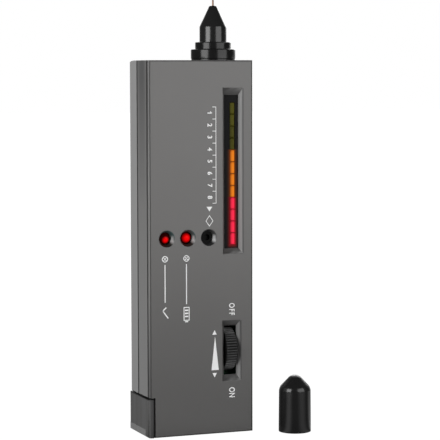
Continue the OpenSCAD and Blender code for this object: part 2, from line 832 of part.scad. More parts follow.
// Snap connector that clips on the studs
module battery_snap() {
    color([0.05, 0.05, 0.05]) difference() {
        block([battery_mid - snap_w / 2, -snap_d / 2, snap_z],
            [battery_mid + snap_w / 2, snap_d / 2, snap_z + snap_h]);
        translate([battery_mid - stud_pitch / 2, 0, battery_top])
            cylinder(h = stud_h + seat_clear, r = stud_r + seat_clear);
        translate([battery_mid + stud_pitch / 2, 0, battery_top])
            cylinder(h = stud_h + seat_clear, r = socket_stud_r + seat_clear);
    }
}

// Wire that runs along Z from z0 to z1, bends by a quarter turn and ends on the board's back
module lead(x, y, z0, z1, bend, r) {
    up = z1 > z0 ? 1 : -1;
    translate([x, y, min(z0, z1)]) cylinder(h = abs(z1 - z0), r = r);
    translate([x, y - bend, z1]) rotate([90, 0, 90]) mirror([0, up > 0 ? 0 : 1, 0])
        rotate_extrude(angle = 90) translate([bend, 0]) circle(r);
    bar_y(x, z1 + up * bend, board_back, y - bend, r);
}

module battery_leads() {
    color([0.7, 0.1, 0.1]) for (x = battery_lead_xs)
        lead(x, battery_lead_y, snap_z + snap_h, battery_lead_z, battery_lead_bend, battery_lead_r);
}

// Metal plate that the fingers touch, let into the back, with a stud through the wall
module touch_plate() {
    color("silver") {
        block([-touch_w / 2 + seat_clear, back_y - touch_t, touch_z - touch_h / 2 + seat_clear],
            [touch_w / 2 - seat_clear, back_y, touch_z + touch_h / 2 - seat_clear]);
        bar_y(0, touch_z, stud_pin_in, back_y - touch_t / 2, stud_pin_r);
    }
}

// Pin that joins the touch plate's stud to the board
module contact_pin() {
    color([0.8, 0.65, 0.2]) bar_y(0, touch_z, board_back, stud_pin_in, contact_r);
}

// Stepped collar that carries the nose, with a stem through the case top
module probe_collar() {
    color([0.06, 0.06, 0.06]) translate([probe_x, 0, 0]) rotate_extrude()
        polygon([[spigot_r + shaft_clear, stem_low], [stem_r, stem_low], [stem_r, case_h],
            [flange_foot_r, case_h], [flange_foot_r, case_h + flange_under],
            [flange_r, case_h + flange_under + flange_slope], [flange_r, flange_top - collar_bevel],
            [flange_r - collar_bevel, flange_top], [ring_r, flange_top], [ring_r, ring_top - collar_bevel],
            [ring_r - collar_bevel, ring_top], [spigot_r + shaft_clear, ring_top]]);
}

// Hexagon nut under the case top
module probe_nut() {
    color("silver") translate([probe_x, 0, inner_top - nut_h]) difference() {
        cylinder(h = nut_h, d = nut_flats / cos(30), $fn = 6);
        translate([0, 0, -over]) cylinder(h = nut_h + 2 * over, r = stem_r + shaft_clear);
    }
}

// Black nose that narrows to the tip
module probe_nose() {
    color([0.06, 0.06, 0.06]) translate([probe_x, 0, 0]) difference() {
        rotate_extrude() polygon([[0, spigot_low], [spigot_r, spigot_low], [spigot_r, ring_top],
            [nose_r, ring_top], [nose_r, nose_top], [cone_r, cone_top], [0, cone_top]]);
        translate([0, 0, spigot_low - over]) cylinder(h = stop_top - spigot_low + over, r = nose_bore_r);
        translate([0, 0, stop_top - over]) cylinder(h = cone_top - stop_top + 2 * over, r = guide_hole_r);
    }
}

// Insulating bush that guides the tip
module tip_guide() {
    color([0.9, 0.88, 0.8]) translate([probe_x, 0, stop_top]) difference() {
        cylinder(h = guide_length, r = guide_hole_r - press_clear);
        translate([0, 0, -over]) cylinder(h = guide_length + 2 * over, r = tip_r + shaft_clear);
    }
}

// Plug that closes the nose from below and carries the spring
module probe_plug() {
    color([0.85, 0.82, 0.75]) translate([probe_x, 0, plug_low])
        cylinder(h = plug_top - plug_low, r = nose_bore_r - shaft_clear);
}

// Copper tip with the stop that the spring pushes
module probe_tip() {
    color([0.72, 0.42, 0.2]) translate([probe_x, 0, 0]) rotate_extrude()
        polygon([[0, tip_low], [tip_r, tip_low], [tip_r, stop_low], [stop_r, stop_low], [stop_r, stop_face],
            [tip_r, stop_face], [tip_r, tip_top - tip_point_h], [tip_point_r, tip_top], [0, tip_top]]);
}

// Heater and sensor bead at the lower end of the tip
module sensor_bead() {
    color([0.5, 0.1, 0.08]) translate([probe_x, 0, bead_low]) cylinder(h = bead_h, r = bead_r);
}

// Spring that holds the tip out
module tip_spring() {
    rings = spring_turns * spring_steps;
    points = [for (i = [0 : rings], k = [0 : spring_sides - 1])
        let (a = 360 * i / spring_steps, b = 360 * k / spring_sides, r = spring_r + spring_wire_r * cos(b))
            [r * cos(a), r * sin(a), spring_climb * i / rings + spring_wire_r * sin(b)]];
    sides = [for (i = [0 : rings - 1], k = [0 : spring_sides - 1])
        let (p = i * spring_sides + k, q = i * spring_sides + (k + 1) % spring_sides)
            each [[p, p + spring_sides, q], [q, p + spring_sides, q + spring_sides]]];
    last = rings * spring_sides;
    ends = concat([for (k = [1 : spring_sides - 2]) [0, k, k + 1]],
        [for (k = [1 : spring_sides - 2]) [last, last + k + 1, last + k]]);
    color("silver") translate([probe_x, 0, spring_low]) polyhedron(points, concat(sides, ends));
}

module probe_leads() {
    color([0.85, 0.75, 0.3]) for (s = [-1, 1])
        lead(probe_x + s * probe_lead_pitch / 2, probe_lead_y, plug_low, probe_lead_z,
            probe_lead_bend, probe_lead_r);
}

// Cap that covers the nose, standing on its mouth beside the case
module probe_cap() {
    across = cap_shoulder_r - cap_round;
    drop = cap_h - cap_crown - cap_shoulder + cap_round / 2;
    lean = acos((cap_crown - cap_round) / norm([across, drop])) - atan2(drop, across);
    outline = concat([[cap_bore_r, 0], [cap_mouth_r, 0], [cap_mouth_r, cap_rim_h]],
        arc(across, cap_shoulder - cap_round / 2, cap_round, 0, lean),
        arc(0, cap_h - cap_crown, cap_crown, lean, 90),
        [[0, cap_hollow_top], [cap_tip_r, cap_hollow_top], [cap_hollow_r, nose_h + cone_h],
            [cap_bore_r, cap_straight]]);
    color([0.05, 0.05, 0.05]) translate([cap_x, cap_y, 0]) rotate_extrude() polygon(outline);
}

front_shell();
rear_shell();
battery_door();
case_screws();
circuit_board();
board_screws();
chips();
capacitors();
trimmers();
bar_holder();
green_bar_leds();
orange_bar_leds();
red_bar_leds();
ready_lamp();
battery_lamp();
buzzer();
potentiometer();
pot_shaft();
volume_wheel();
wheel_screw();
battery();
battery_terminals();
battery_snap();
battery_leads();
touch_plate();
contact_pin();
probe_collar();
probe_nut();
probe_nose();
tip_guide();
probe_plug();
probe_tip();
sensor_bead();
tip_spring();
probe_leads();
probe_cap();
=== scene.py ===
# %% [markdown]
# # A diamond tester for a shop counter
# The tester is a slim grey case that stands on its end, with a sprung copper probe on top and its
# cap beside it. The solids were packed beforehand and come in as a fixed frame. Nothing here moves
# them: this lesson only gives them finishes, or puts a softer piece in the place of a plain solid.

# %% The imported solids
import json
import math

import bmesh
import bpy
from mathutils import Matrix, Vector


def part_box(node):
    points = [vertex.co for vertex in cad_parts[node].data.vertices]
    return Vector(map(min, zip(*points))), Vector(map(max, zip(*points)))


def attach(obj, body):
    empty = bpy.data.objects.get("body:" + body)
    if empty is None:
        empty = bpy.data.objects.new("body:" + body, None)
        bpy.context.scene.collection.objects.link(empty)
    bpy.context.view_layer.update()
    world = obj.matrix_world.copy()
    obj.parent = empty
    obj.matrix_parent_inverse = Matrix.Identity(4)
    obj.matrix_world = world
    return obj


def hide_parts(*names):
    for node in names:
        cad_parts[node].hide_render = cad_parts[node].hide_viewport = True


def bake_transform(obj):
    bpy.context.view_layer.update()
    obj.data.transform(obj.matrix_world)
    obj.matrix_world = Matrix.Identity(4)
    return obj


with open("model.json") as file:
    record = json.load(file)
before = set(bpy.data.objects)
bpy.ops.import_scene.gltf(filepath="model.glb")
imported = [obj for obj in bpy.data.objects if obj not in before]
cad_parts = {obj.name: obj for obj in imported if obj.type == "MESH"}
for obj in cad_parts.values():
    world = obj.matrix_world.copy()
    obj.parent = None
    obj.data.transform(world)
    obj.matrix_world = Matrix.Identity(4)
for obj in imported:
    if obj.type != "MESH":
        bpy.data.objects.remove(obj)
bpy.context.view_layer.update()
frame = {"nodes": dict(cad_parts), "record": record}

MM = 0.001
bpy.context.scene.view_settings.view_transform = "Standard"

# %% [markdown]
# ## Where the camera stands
# The photograph shows the front and a little of the left side, from a long way off. The camera could
# be placed by eye, but corners of the case were measured in the picture instead, and the place below
# brings them back to within a pixel or so. A long lens was chosen over a near one because the
# upright edges hardly lean.

# %% Camera
CAMERA_AZIMUTH, CAMERA_ELEVATION, CAMERA_ROLL = map(math.radians, (-21.285, 4.509, -0.128))
CAMERA_PLACE = Vector((-276.26, -743.04, 152.44)) * MM
SENSOR_W, FOCAL_LENGTH = 36, 153.2


def away(azimuth, elevation):
    """Unit vector from the tester towards something at that azimuth and height angle."""
    level = math.cos(elevation)
    return Vector((math.sin(azimuth) * level, -math.cos(azimuth) * level, math.sin(elevation)))


back = away(CAMERA_AZIMUTH, CAMERA_ELEVATION)
right = Vector((math.cos(CAMERA_AZIMUTH), math.sin(CAMERA_AZIMUTH), 0))
up = back.cross(right)
rolled_right = math.cos(CAMERA_ROLL) * right + math.sin(CAMERA_ROLL) * up
rolled_up = math.cos(CAMERA_ROLL) * up - math.sin(CAMERA_ROLL) * right
long_lens = bpy.data.cameras.new("photo_camera")
long_lens.sensor_width = SENSOR_W
long_lens.lens = FOCAL_LENGTH
camera = bpy.data.objects.new("photo_camera", long_lens)
facing = Matrix((rolled_right, rolled_up, back)).transposed().to_4x4()
camera.matrix_world = Matrix.Translation(CAMERA_PLACE) @ facing
bpy.context.scene.collection.objects.link(camera)
bpy.context.scene.camera = camera
print(f"camera of {long_lens.lens:.1f} mm, {CAMERA_PLACE.length:.2f} m away")

# %% [markdown]
# ## Sums that build shaders
# A finish is a tree of nodes. Wiring each Math node by hand hides what is meant, so a small class
# wraps an output socket and lets it stand in an ordinary sum. Everything that isn't a Math node
# comes from one method, which takes the node's type, its settings and what goes into its sockets.


# %% Wires and benches
def two_terms(operation):
    """A method that joins a wire and another value by one Math node."""
    return lambda self, other: self.apply(operation, self, other)


class Wire:
    """An output socket. Each operator adds one Math node."""

    def __init__(self, bench, socket):
        self.bench = bench
        self.socket = socket

    def apply(self, operation, *terms):
        return self.bench.node("ShaderNodeMath", {"operation": operation}, dict(enumerate(terms)))

    def __rsub__(self, other):
        return self.apply("SUBTRACT", other, self)

    def __abs__(self):
        return self.apply("ABSOLUTE", self)

    __add__ = __radd__ = two_terms("ADD")
    __sub__ = two_terms("SUBTRACT")
    __mul__ = __rmul__ = two_terms("MULTIPLY")
    __truediv__ = two_terms("DIVIDE")
    __pow__ = two_terms("POWER")
    __gt__ = two_terms("GREATER_THAN")
    __lt__ = two_terms("LESS_THAN")
    least = two_terms("MINIMUM")
    most = two_terms("MAXIMUM")

    def clamped(self):
        """The same value held between 0 and 1."""
        return self.least(1.0).most(0.0)

    def wave(self):
        """A sine between 0 and 1 of a value in turns."""
        return self.apply("SINE", self * (2 * math.pi)) * 0.5 + 0.5

    def fraction(self):
        return self.apply("FRACT", self)


class Bench:
    """A node tree with one method that adds any node."""

    def __init__(self, tree):
        self.tree = tree
        tree.nodes.clear()

    def node(self, kind, settings=None, sockets=None, output=0):
        made = self.tree.nodes.new(kind)
        for key, value in (settings or {}).items():
            setattr(made, key, value)
        for key, value in (sockets or {}).items():
            if isinstance(value, Wire):
                self.tree.links.new(value.socket, made.inputs[key])
            else:
                made.inputs[key].default_value = value
        return Wire(self, made.outputs[output]) if made.outputs else None

    def mix(self, amount, low, high):
        """Colour between low and high."""
        return self.node("ShaderNodeMix", {"data_type": "RGBA"}, {0: amount, 6: low, 7: high}, 2)

    def blend(self, amount, low, high):
        """Shader between low and high."""
        return self.node("ShaderNodeMixShader", sockets={0: amount, 1: low, 2: high})

    def parts(self, vector):
        """The x, y and z of a vector."""
        split = self.node("ShaderNodeSeparateXYZ", sockets={0: vector}).socket.node
        return [Wire(self, out) for out in split.outputs]

    def place(self):
        """Object coordinates, in metres."""
        return self.node("ShaderNodeTexCoord", output="Object")

    def noise(self, scale, detail=2.0, stretch=(1, 1, 1)):
        """Soft noise of about 0 to 1, with scale cells to the metre."""
        drawn = self.node("ShaderNodeMapping", sockets={"Vector": self.place(), "Scale": stretch})
        sockets = {"Vector": drawn, "Scale": scale, "Detail": detail}
        return self.node("ShaderNodeTexNoise", sockets=sockets)


def grey(value, warm=0.0):
    """A grey in linear light, a little warmer where warm is above 0."""
    return (value * (1 + warm), value, value * (1 - warm), 1)


print("wires and benches are ready")

# %% [markdown]
# ## White floor
# The photograph is a cut-out on pure white. Lamps that burn a real table out would wash out the
# greys as well, so the floor tells the kinds of ray apart: to the camera it glows white and keeps a
# trace of shadow, and to other light it is dim. The black cap stands on it and mirrors it, so a
# gloss sees a sheen that is painted by the bearing from the cap: below both softboxes, and at the
# cap's right edge. Behind the tester the white fades out to the left, where it would make the side
# of the case too pale.

# %% Floor
LEFT_BOX, RIGHT_BOX, EDGE_LIGHT = -65, 29, 100
FLOOR_HALF, FLOOR_DROP, FLOOR_WHITE = 6, 0.05 * MM, 1.085
SHADOW_REACH, SHADOW_FADE = 0.15, 0.35


def middle_of(node):
    """The middle of a solid's box."""
    low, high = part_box(node)
    return (low + high) / 2


def ray_kinds(bench):
    """Two wires: 1 for a ray that the camera sees directly, and 1 for a ray seen in a gloss."""
    paths = bench.node("ShaderNodeLightPath").socket.node.outputs
    seen = Wire(bench, paths["Is Camera Ray"]) + Wire(bench, paths["Is Transmission Ray"])
    return seen.clamped(), Wire(bench, paths["Is Glossy Ray"])


def under_box(bearing, azimuth, half):
    """How much of a softbox the table mirrors at a bearing: 1 below it, 0 well past its side."""
    return (1.3 - abs(bearing - math.radians(azimuth)) / math.radians(half)).clamped()


def far_side(x, y):
    """1 for what lies straight behind the tester, fading out to the left of it."""
    return ((x + y * 0.1) / (y.most(0.01) * 0.3) + 0.5).clamped()


floor_mesh = bpy.data.meshes.new("studio_floor")
bm = bmesh.new()
bmesh.ops.create_grid(bm, x_segments=1, y_segments=1, size=FLOOR_HALF)
bmesh.ops.translate(bm, verts=bm.verts, vec=(0, 0, -FLOOR_DROP))
bm.to_mesh(floor_mesh)
bm.free()
floor = bpy.data.objects.new("studio_floor", floor_mesh)
bpy.context.scene.collection.objects.link(floor)
floor_finish = bpy.data.materials.new("floor_white")
floor_finish.use_nodes = True
bench = Bench(floor_finish.node_tree)
seen, mirrored = ray_kinds(bench)
x, y, z = bench.parts(bench.place())
far = (((x * x + y * y) ** 0.5 - SHADOW_REACH) / SHADOW_FADE).clamped()
cap_centre = middle_of("probe_cap")
bearing = x.apply("ARCTAN2", x - cap_centre.x, cap_centre.y - y)
boxes = under_box(bearing, LEFT_BOX, 20) * 0.8 + under_box(bearing, RIGHT_BOX, 26) * 0.55
edge_light = under_box(bearing, EDGE_LIGHT, 20) * (1 - far) * 0.5
beyond = far_side(x, y) * (y * 4 - 0.4).clamped() * 0.8
sheen = (0.1 + boxes + edge_light + beyond).clamped()
dim = bench.node("ShaderNodeBsdfDiffuse", sockets={"Color": grey(0.05)})
matte = bench.node("ShaderNodeBsdfDiffuse", sockets={"Color": grey(0.8)})
glow = bench.node("ShaderNodeEmission", sockets={"Color": grey(1.0), "Strength": FLOOR_WHITE})
glossed = bench.blend(mirrored * sheen, dim, glow)
shown = bench.blend(seen, glossed, bench.blend(0.9 + far * 0.1, matte, glow))
bench.node("ShaderNodeOutputMaterial", sockets={"Surface": shown})
floor_mesh.materials.append(floor_finish)
print(f"floor of {2 * FLOOR_HALF} m, {FLOOR_DROP / MM:.2f} mm below the foot")

# %% [markdown]
# ## White world
# Above the floor's edge the world takes over. A picture of a studio could stand there, but two plain
# tones are enough: white to the camera, and a dim room for the light on the tester. A gloss sees the
# white only behind the tester, as it does on the floor.

# %% World
world = bpy.data.worlds.new("studio")
bpy.context.scene.world = world
world.use_nodes = True
bench = Bench(world.node_tree)
seen, mirrored = ray_kinds(bench)
x, y, z = bench.parts(bench.node("ShaderNodeTexCoord", output="Generated"))
beyond = (y * 2 - 0.6).clamped() * far_side(x, y)
room = bench.node("ShaderNodeBackground", sockets={"Color": grey(0.1)})
white = bench.node("ShaderNodeBackground", sockets={"Color": grey(1.0)})
sky = bench.blend((seen + mirrored * beyond * 0.8).clamped(), room, white)
bench.node("ShaderNodeOutputWorld", sockets={0: sky})
print(f"world of {len(world.node_tree.nodes)} nodes")

# %% [markdown]
# ## Softboxes
# The black probe shows what lit it: one wide softbox on the left and one on the right, with a dark
# gap between them. Point lamps would leave dots there and a sun a thin line, so two area lamps stand
# where those two stripes of light reflect from. They stand low, because the cone above the stripes
# stays dark. A third one lights the back, which the photograph doesn't show.

# %% Softboxes
SUBJECT = Vector((0, 0, 95)) * MM


def softbox(name, azimuth, elevation, distance, size, radiance):
    """A rectangular lamp that faces the tester. Its power follows from how bright its face looks."""
    lamp = bpy.data.lights.new(name, "AREA")
    lamp.shape = "RECTANGLE"
    lamp.size, lamp.size_y = size
    lamp.energy = radiance * math.pi * size[0] * size[1]
    towards = away(math.radians(azimuth), math.radians(elevation))
    stand = bpy.data.objects.new(name, lamp)
    aim = towards.to_track_quat("Z", "Y").to_matrix().to_4x4()
    stand.matrix_world = Matrix.Translation(SUBJECT + towards * distance) @ aim
    bpy.context.scene.collection.objects.link(stand)
    print(f"{name}: {lamp.energy:.1f} W")


softbox("softbox_left", LEFT_BOX, 13, 0.45, (0.3, 0.3), 7.2)
softbox("softbox_right", RIGHT_BOX, 13, 0.45, (0.4, 0.3), 3.2)
softbox("softbox_back", 142, 30, 0.55, (0.5, 0.4), 2.6)

# %% [markdown]
# ## Moulded plastic
# Every finish is a Principled shader whose colour, gloss and bump vary over the surface in Object
# coordinates, so it needs no picture and stays put when a piece moves. The first kind is moulded
# plastic. A single grey would look like paint, so it has what a mould leaves: a slow drift of tone,
# an etched grain and an uneven gloss.

# %% Moulded finishes
FINISHES = {}


class Finish(Bench):
    """A material with one Principled shader. The given sockets are the same all over."""

    def __init__(self, name, sockets):
        self.material = bpy.data.materials.new(name)
        self.material.use_nodes = True
        super().__init__(self.material.node_tree)
        self.surface = self.node("ShaderNodeBsdfPrincipled", sockets=sockets)
        self.node("ShaderNodeOutputMaterial", sockets={"Surface": self.surface})
        FINISHES[name] = self.material

    def feed(self, name, wire):
        self.tree.links.new(wire.socket, self.surface.socket.node.inputs[name])

    def bump(self, height, depth):
        """Relief of that depth in millimetres."""
        sockets = {"Distance": depth * MM, "Height": height}
        self.feed("Normal", self.node("ShaderNodeBump", sockets=sockets))


def moulded(name, dark, light, rough, grain=2600, depth=0.008, sockets=None):
    """Moulded plastic between two tones, with a grain of so many cells to the metre."""
    finish = Finish(name, {"IOR": 1.49, **(sockets or {})})
    drift = finish.noise(28, 3)
    etched = finish.noise(grain, 1)
    finish.tone = finish.mix((drift * 0.7 + etched * 0.3).clamped(), dark, light)
    finish.feed("Base Color", finish.tone)
    finish.feed("Roughness", rough + (etched - 0.5) * 0.16 + (drift - 0.5) * 0.06)
    finish.bump(etched, depth)
    return finish


moulded("chip_black", grey(0.012), grey(0.022), 0.6)
moulded("buzzer_black", grey(0.004), grey(0.007), 0.55, sockets={"Specular IOR Level": 0.08})
moulded("trimmer_blue", (0.03, 0.12, 0.38, 1), (0.05, 0.18, 0.5, 1), 0.45)
moulded("guide_white", grey(0.66, 0.04), grey(0.76, 0.04), 0.45)
moulded("snap_black", grey(0.014), grey(0.024), 0.65)
moulded("lead_sleeve", (0.3, 0.02, 0.02, 1), (0.42, 0.03, 0.03, 1), 0.5)
moulded("capacitor_sleeve", (0.02, 0.03, 0.09, 1), (0.03, 0.05, 0.14, 1), 0.3)
moulded("bead_glass", (0.2, 0.04, 0.03, 1), (0.32, 0.06, 0.04, 1), 0.2)
moulded("print_white", grey(0.9), grey(0.97), 0.6, grain=6000)
print(f"{len(FINISHES)} moulded finishes")

# %% [markdown]
# ## Light and shade of the case
# The case is one satin grey, and lamps alone would give each of its flat faces one even tone. So
# painted light and shade are mixed into its colour, changing slowly along its length: painted shade
# darkens the face towards the foot, and painted light makes the side paler there. The rear half gets
# the most painted light. The front strip of the side gets painted shade in its middle near the top,
# and the lip before it gets painted shade towards both ends. Each change is mixed in by place, one
# after the other, so that each can be judged by itself.


# %% Case tones
def ramp(value, start, end):
    """0 where a length is start millimetres and 1 where it is end."""
    return ((value - start * MM) / ((end - start) * MM)).clamped()


SHELL_LOW, SHELL_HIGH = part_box("front_shell")
FRONT_Y, SEAM_Y, CASE_TOP = SHELL_LOW.y, SHELL_HIGH.y, SHELL_HIGH.z
FACE_EDGE, FACE_ROUND = SHELL_HIGH.x - 1.0 * MM, 0.35 * MM
REVEAL_Y = FRONT_Y + 2.3 * MM
STRIP_MIDDLE, STRIP_HALF = (SEAM_Y + REVEAL_Y) / 2, 5.5 * MM
SHADE, PAINTED_SIDE_LIGHT, PAINTED_REAR_LIGHT = grey(0.03), grey(0.24), grey(0.285)
finish = moulded("case_grey", grey(0.117, 0.022), grey(0.139, 0.022), 0.44)
x, y, z = finish.parts(finish.place())
aside, behind = abs(x), y - FRONT_Y
on_side = aside > FACE_EDGE + 0.6 * MM
# Painted shade: the face darkens towards its foot.
tone = finish.mix(ramp(z, 90, 0) * 0.42 * (1 - on_side), finish.tone, SHADE)
# Painted light: the side is paler towards its foot.
tone = finish.mix(ramp(z, 110, 0) * on_side * 0.65, tone, PAINTED_SIDE_LIGHT)
# Painted light over the rear half of the side.
tone = finish.mix(on_side * (y > SEAM_Y) * 0.85, tone, PAINTED_REAR_LIGHT)
# Painted shade in the middle of the side's front strip, near the top.
strip_shade = on_side * (y < SEAM_Y) * (y > REVEAL_Y) * ramp(z, 95, 150)
tone = finish.mix(strip_shade * (1.3 - abs(y - STRIP_MIDDLE) / STRIP_HALF).clamped(), tone, SHADE)
# A little painted light over the side behind the reveal.
tone = finish.mix(on_side * (y > REVEAL_Y) * 0.13, tone, grey(0.5))
# Painted shade on the lip towards both of its ends.
lip = (aside > FACE_EDGE + 0.2 * MM) * (behind > FACE_ROUND) * (y < REVEAL_Y)
lip_end_shade = ramp(z, 105, 135).most(ramp(z, 60, 25))
tone = finish.mix(lip * lip_end_shade * 0.6, tone, SHADE)
print(f"face {2 * FACE_EDGE / MM:.1f} mm wide, case {CASE_TOP / MM:.1f} mm high")

# %% [markdown]
# ## Dark lines of the case
# The seam between the two shells, the fine reveal behind the face and the edge around the face get
# painted shade, the shade that falls into them. A groove in the mesh would be finer than a pixel and
# flicker, so the lines are drawn by the distance from each, and they are duller as well as darker.


# %% Case lines
def line(distance, half):
    """1 on a line and 0 away from it, falling through a half at that many millimetres."""
    return (1.5 - abs(distance) / (half * MM)).clamped()


seam = line(y - SEAM_Y, 0.62)
reveal = line(y - REVEAL_Y, 0.6) * on_side
around = (aside > FACE_EDGE - 0.05 * MM) + (z > CASE_TOP - 0.5 * MM)
edges = around.clamped() * (behind < FACE_ROUND)
# Painted shade in the seam, the reveal and along the face's edge.
line_shade = (seam + reveal + edges * 0.7).clamped()
case_tone = finish.mix(line_shade, tone, grey(0.01))
finish.feed("Roughness", 0.42 + finish.noise(2600, 1) * 0.1 + line_shade * 0.5)
print(f"seam at {SEAM_Y / MM:.2f} mm, reveal at {REVEAL_Y / MM:.2f} mm")

# %% [markdown]
# ## Shade in the wells
# Little light gets into the three round wells, so they get painted shade: nearly black at the foot
# and paler above, with a painted highlight on the right wall, and cool beside a red lamp. Light could
# find its own way in with many more bounces, but a painted shade costs none and holds under any light.

# %% Wells
WELL_NODES = ("ready_lamp", "battery_lamp", "buzzer")
WELL_CENTRES = [middle_of(node) for node in WELL_NODES]
WELL_R = 3.6 * MM
PATCH_ASIDE, PATCH_DROP, PATCH_LIGHT = 2.62 * MM, 0.5 * MM, (0.68, 0.68, 0.96)
SUNK_FROM, SUNK_TO = 0.06 * MM, 2.5 * MM
COOL_UPPER_SHADE, PLAIN_UPPER_SHADE = (0.06, 0.11, 0.11, 1), grey(0.075)
COOL_FOOT_SHADE, PLAIN_FOOT_SHADE = (0.004, 0.011, 0.0085, 1), grey(0.016)
sunk = (behind > SUNK_FROM) * (behind < SUNK_TO)
to_well = [abs(x - centre.x) for centre in WELL_CENTRES]
across = to_well[0].least(to_well[1]).least(to_well[2])
rise = z - WELL_CENTRES[0].z
well = (across * across + rise * rise < WELL_R ** 2) * sunk
# Painted highlight on the right wall of each well.
wall_highlights = [
    line(x - centre.x - PATCH_ASIDE, 0.55) * light
    for centre, light in zip(WELL_CENTRES, PATCH_LIGHT)]
wall_highlight = (wall_highlights[0] + wall_highlights[1] + wall_highlights[2]) * line(rise + PATCH_DROP, 1.3)
# Painted shade on the well walls: near black at the foot, paler and cool above.
upper_wall_shade = finish.mix(to_well[2] < WELL_R, COOL_UPPER_SHADE, PLAIN_UPPER_SHADE)
lower_wall_shade = finish.mix(to_well[2] < WELL_R, COOL_FOOT_SHADE, PLAIN_FOOT_SHADE)
wall_shade = finish.mix((rise / WELL_R * 0.7 + 0.3).clamped(), lower_wall_shade, upper_wall_shade)
tone = finish.mix(well, case_tone, finish.mix(wall_highlight, wall_shade, grey(0.5)))
print(f"{len(WELL_CENTRES)} wells at z {WELL_CENTRES[0].z / MM:.1f} mm")

# %% [markdown]
# ## Shade in the recesses
# The bar and the wheel lie in recesses with sloped sides. The slopes at the two ends get painted
# shade, the one on the right gets painted light and ends in a rim of painted shade, and the notch
# behind the door is painted black as shade. Which slope a point lies on follows from how far past the
# floor it is to the right, above or below, so no face has to be picked out by hand.

# %% Recesses and notch
# Each recess is (right end of its floor, its lower and upper end, spread to the right, below and above,
# share of painted light on its right slope).
RECESSES = [(17.375, 78.4, 143.0, 1.3, 2.2, 3.1, 0.58), (16.2, 24.7, 45.5, 1.4, 2.5, 2.5, 0.36)]
RECESS_W, RECESS_REACH, RIM_REACH, NOTCH_GAP = 11, 4 * MM, 0.3, 0.7 * MM
DOOR_EDGE, DOOR_TOP = -21.4 * MM, 16.3 * MM
for floor_x, low_z, high_z, right_run, low_run, high_run, light in RECESSES:
    rim_x = floor_x + right_run
    from_middle = abs(z - (low_z + high_z) / 2 * MM)
    in_reach = from_middle < (high_z - low_z) / 2 * MM + RECESS_REACH
    here = sunk * (x > (floor_x - RECESS_W) * MM) * (x < (rim_x + RIM_REACH) * MM) * in_reach
    to_right = (x - floor_x * MM) / (right_run * MM)
    above, below = (z - high_z * MM) / (high_run * MM), (low_z * MM - z) / (low_run * MM)
    past_end = above.most(below)
    end_slopes = (past_end > to_right.most(0)) * here
    right_slope = (to_right > past_end.most(0)) * here
    # Painted shade on the end slopes, painted light on the right slope.
    tone = finish.mix(end_slopes * 0.55, tone, grey(0.02))
    tone = finish.mix(right_slope * light, tone, grey(0.26))
    # Painted shade in a rim along the right slope's outer edge.
    rim_shade = line(x - rim_x * MM, RIM_REACH) * (past_end < 0.9) * (behind < SUNK_TO)
    tone = finish.mix(rim_shade * 0.8, tone, SHADE)
# Painted shade: the notch behind the door is nearly black.
notch_shade = (x < DOOR_EDGE + NOTCH_GAP) * (z < DOOR_TOP + NOTCH_GAP) * (abs(y) < -FRONT_Y - SUNK_FROM)
finish.feed("Base Color", finish.mix(notch_shade, tone, grey(0.006)))
print(f"{len(RECESSES)} recesses, notch up to {(DOOR_TOP + NOTCH_GAP) / MM:.1f} mm")

# %% [markdown]
# ## Battery door
# The door is a separate, darker moulding with faint upright streaks. Its front corner gets painted
# shade, the rims beside the gap get painted shade that is nearly black, and the raised band at its
# foot gets painted light. Streaks could be drawn one by one, but noise drawn out along one axis
# gives all of them at once.

# %% Door finish
BAND_TOP, BAND_DEPTH, RIM_W = 3.2 * MM, 0.1 * MM, 0.5 * MM
finish = moulded("door_grey", grey(0.088, 0.01), grey(0.102, 0.01), 0.5, grain=1900, depth=0.012)
x, y, z = finish.parts(finish.place())
streaks = finish.noise(550, 1, (1, 1, 0.04))
# Painted shade on the front corner.
corner = ramp(y - FRONT_Y, 1.4, 0.2)
# Painted light on the raised band at the foot.
band_light = (z < BAND_TOP) * (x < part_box("battery_door")[0].x + BAND_DEPTH)
# Painted shade along the gap at the top and along the front edge.
gap_shade = (line(z - DOOR_TOP, 0.3) + (x > DOOR_EDGE - RIM_W)).clamped()
tone = finish.mix(((streaks - 0.38) * 2.5).clamped(), finish.tone, grey(0.13))
tone = finish.mix(corner * 0.76, tone, grey(0.02))
tone = finish.mix(band_light * 0.8, tone, grey(0.25))
finish.feed("Base Color", finish.mix(gap_shade, tone, grey(0.008)))
print(f"door up to {DOOR_TOP / MM:.1f} mm")

# %% [markdown]
# ## Black gloss
# The probe and its cap are polished black plastic. Almost all of their look is what they reflect, so
# the colour is nearly nothing, and the detail is in the gloss: faint turning rings, a little
# unevenness and a few dulled patches. The nose has a lacquer that the collar lacks, and the cap's
# crown gets a painted highlight. Only the rings and the gloss differ, so one helper makes both.


# %% Gloss finishes
def black_gloss(name, rings, sockets):
    """Polished black, with so many faint turning marks to the metre of height."""
    finish = Finish(name, {"IOR": 1.52, **sockets})
    finish.height = finish.parts(finish.place())[2]
    turned_marks = (finish.height * rings).wave()
    finish.handled = finish.noise(120, 3)
    finish.tone = finish.mix(finish.handled, grey(0.006), grey(0.01))
    finish.feed("Base Color", finish.tone)
    finish.feed("Roughness", 0.18 + (finish.handled - 0.5) * 0.12 + turned_marks * 0.02)
    finish.bump(turned_marks * 0.1 + finish.handled * 0.9, 0.004)
    return finish


NOSE_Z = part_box("probe_collar")[1].z
CAP_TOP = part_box("probe_cap")[1].z
finish = black_gloss("probe_black", 2400, {"Specular IOR Level": 0.24, "Coat Roughness": 0.14})
on_nose = finish.height > NOSE_Z
finish.feed("Base Color", finish.mix(on_nose, finish.tone, grey(0.011)))
finish.feed("Coat Weight", on_nose * (0.25 + finish.handled * 0.13))
finish = black_gloss("cap_black", 1800, {"Specular IOR Level": 0.36})
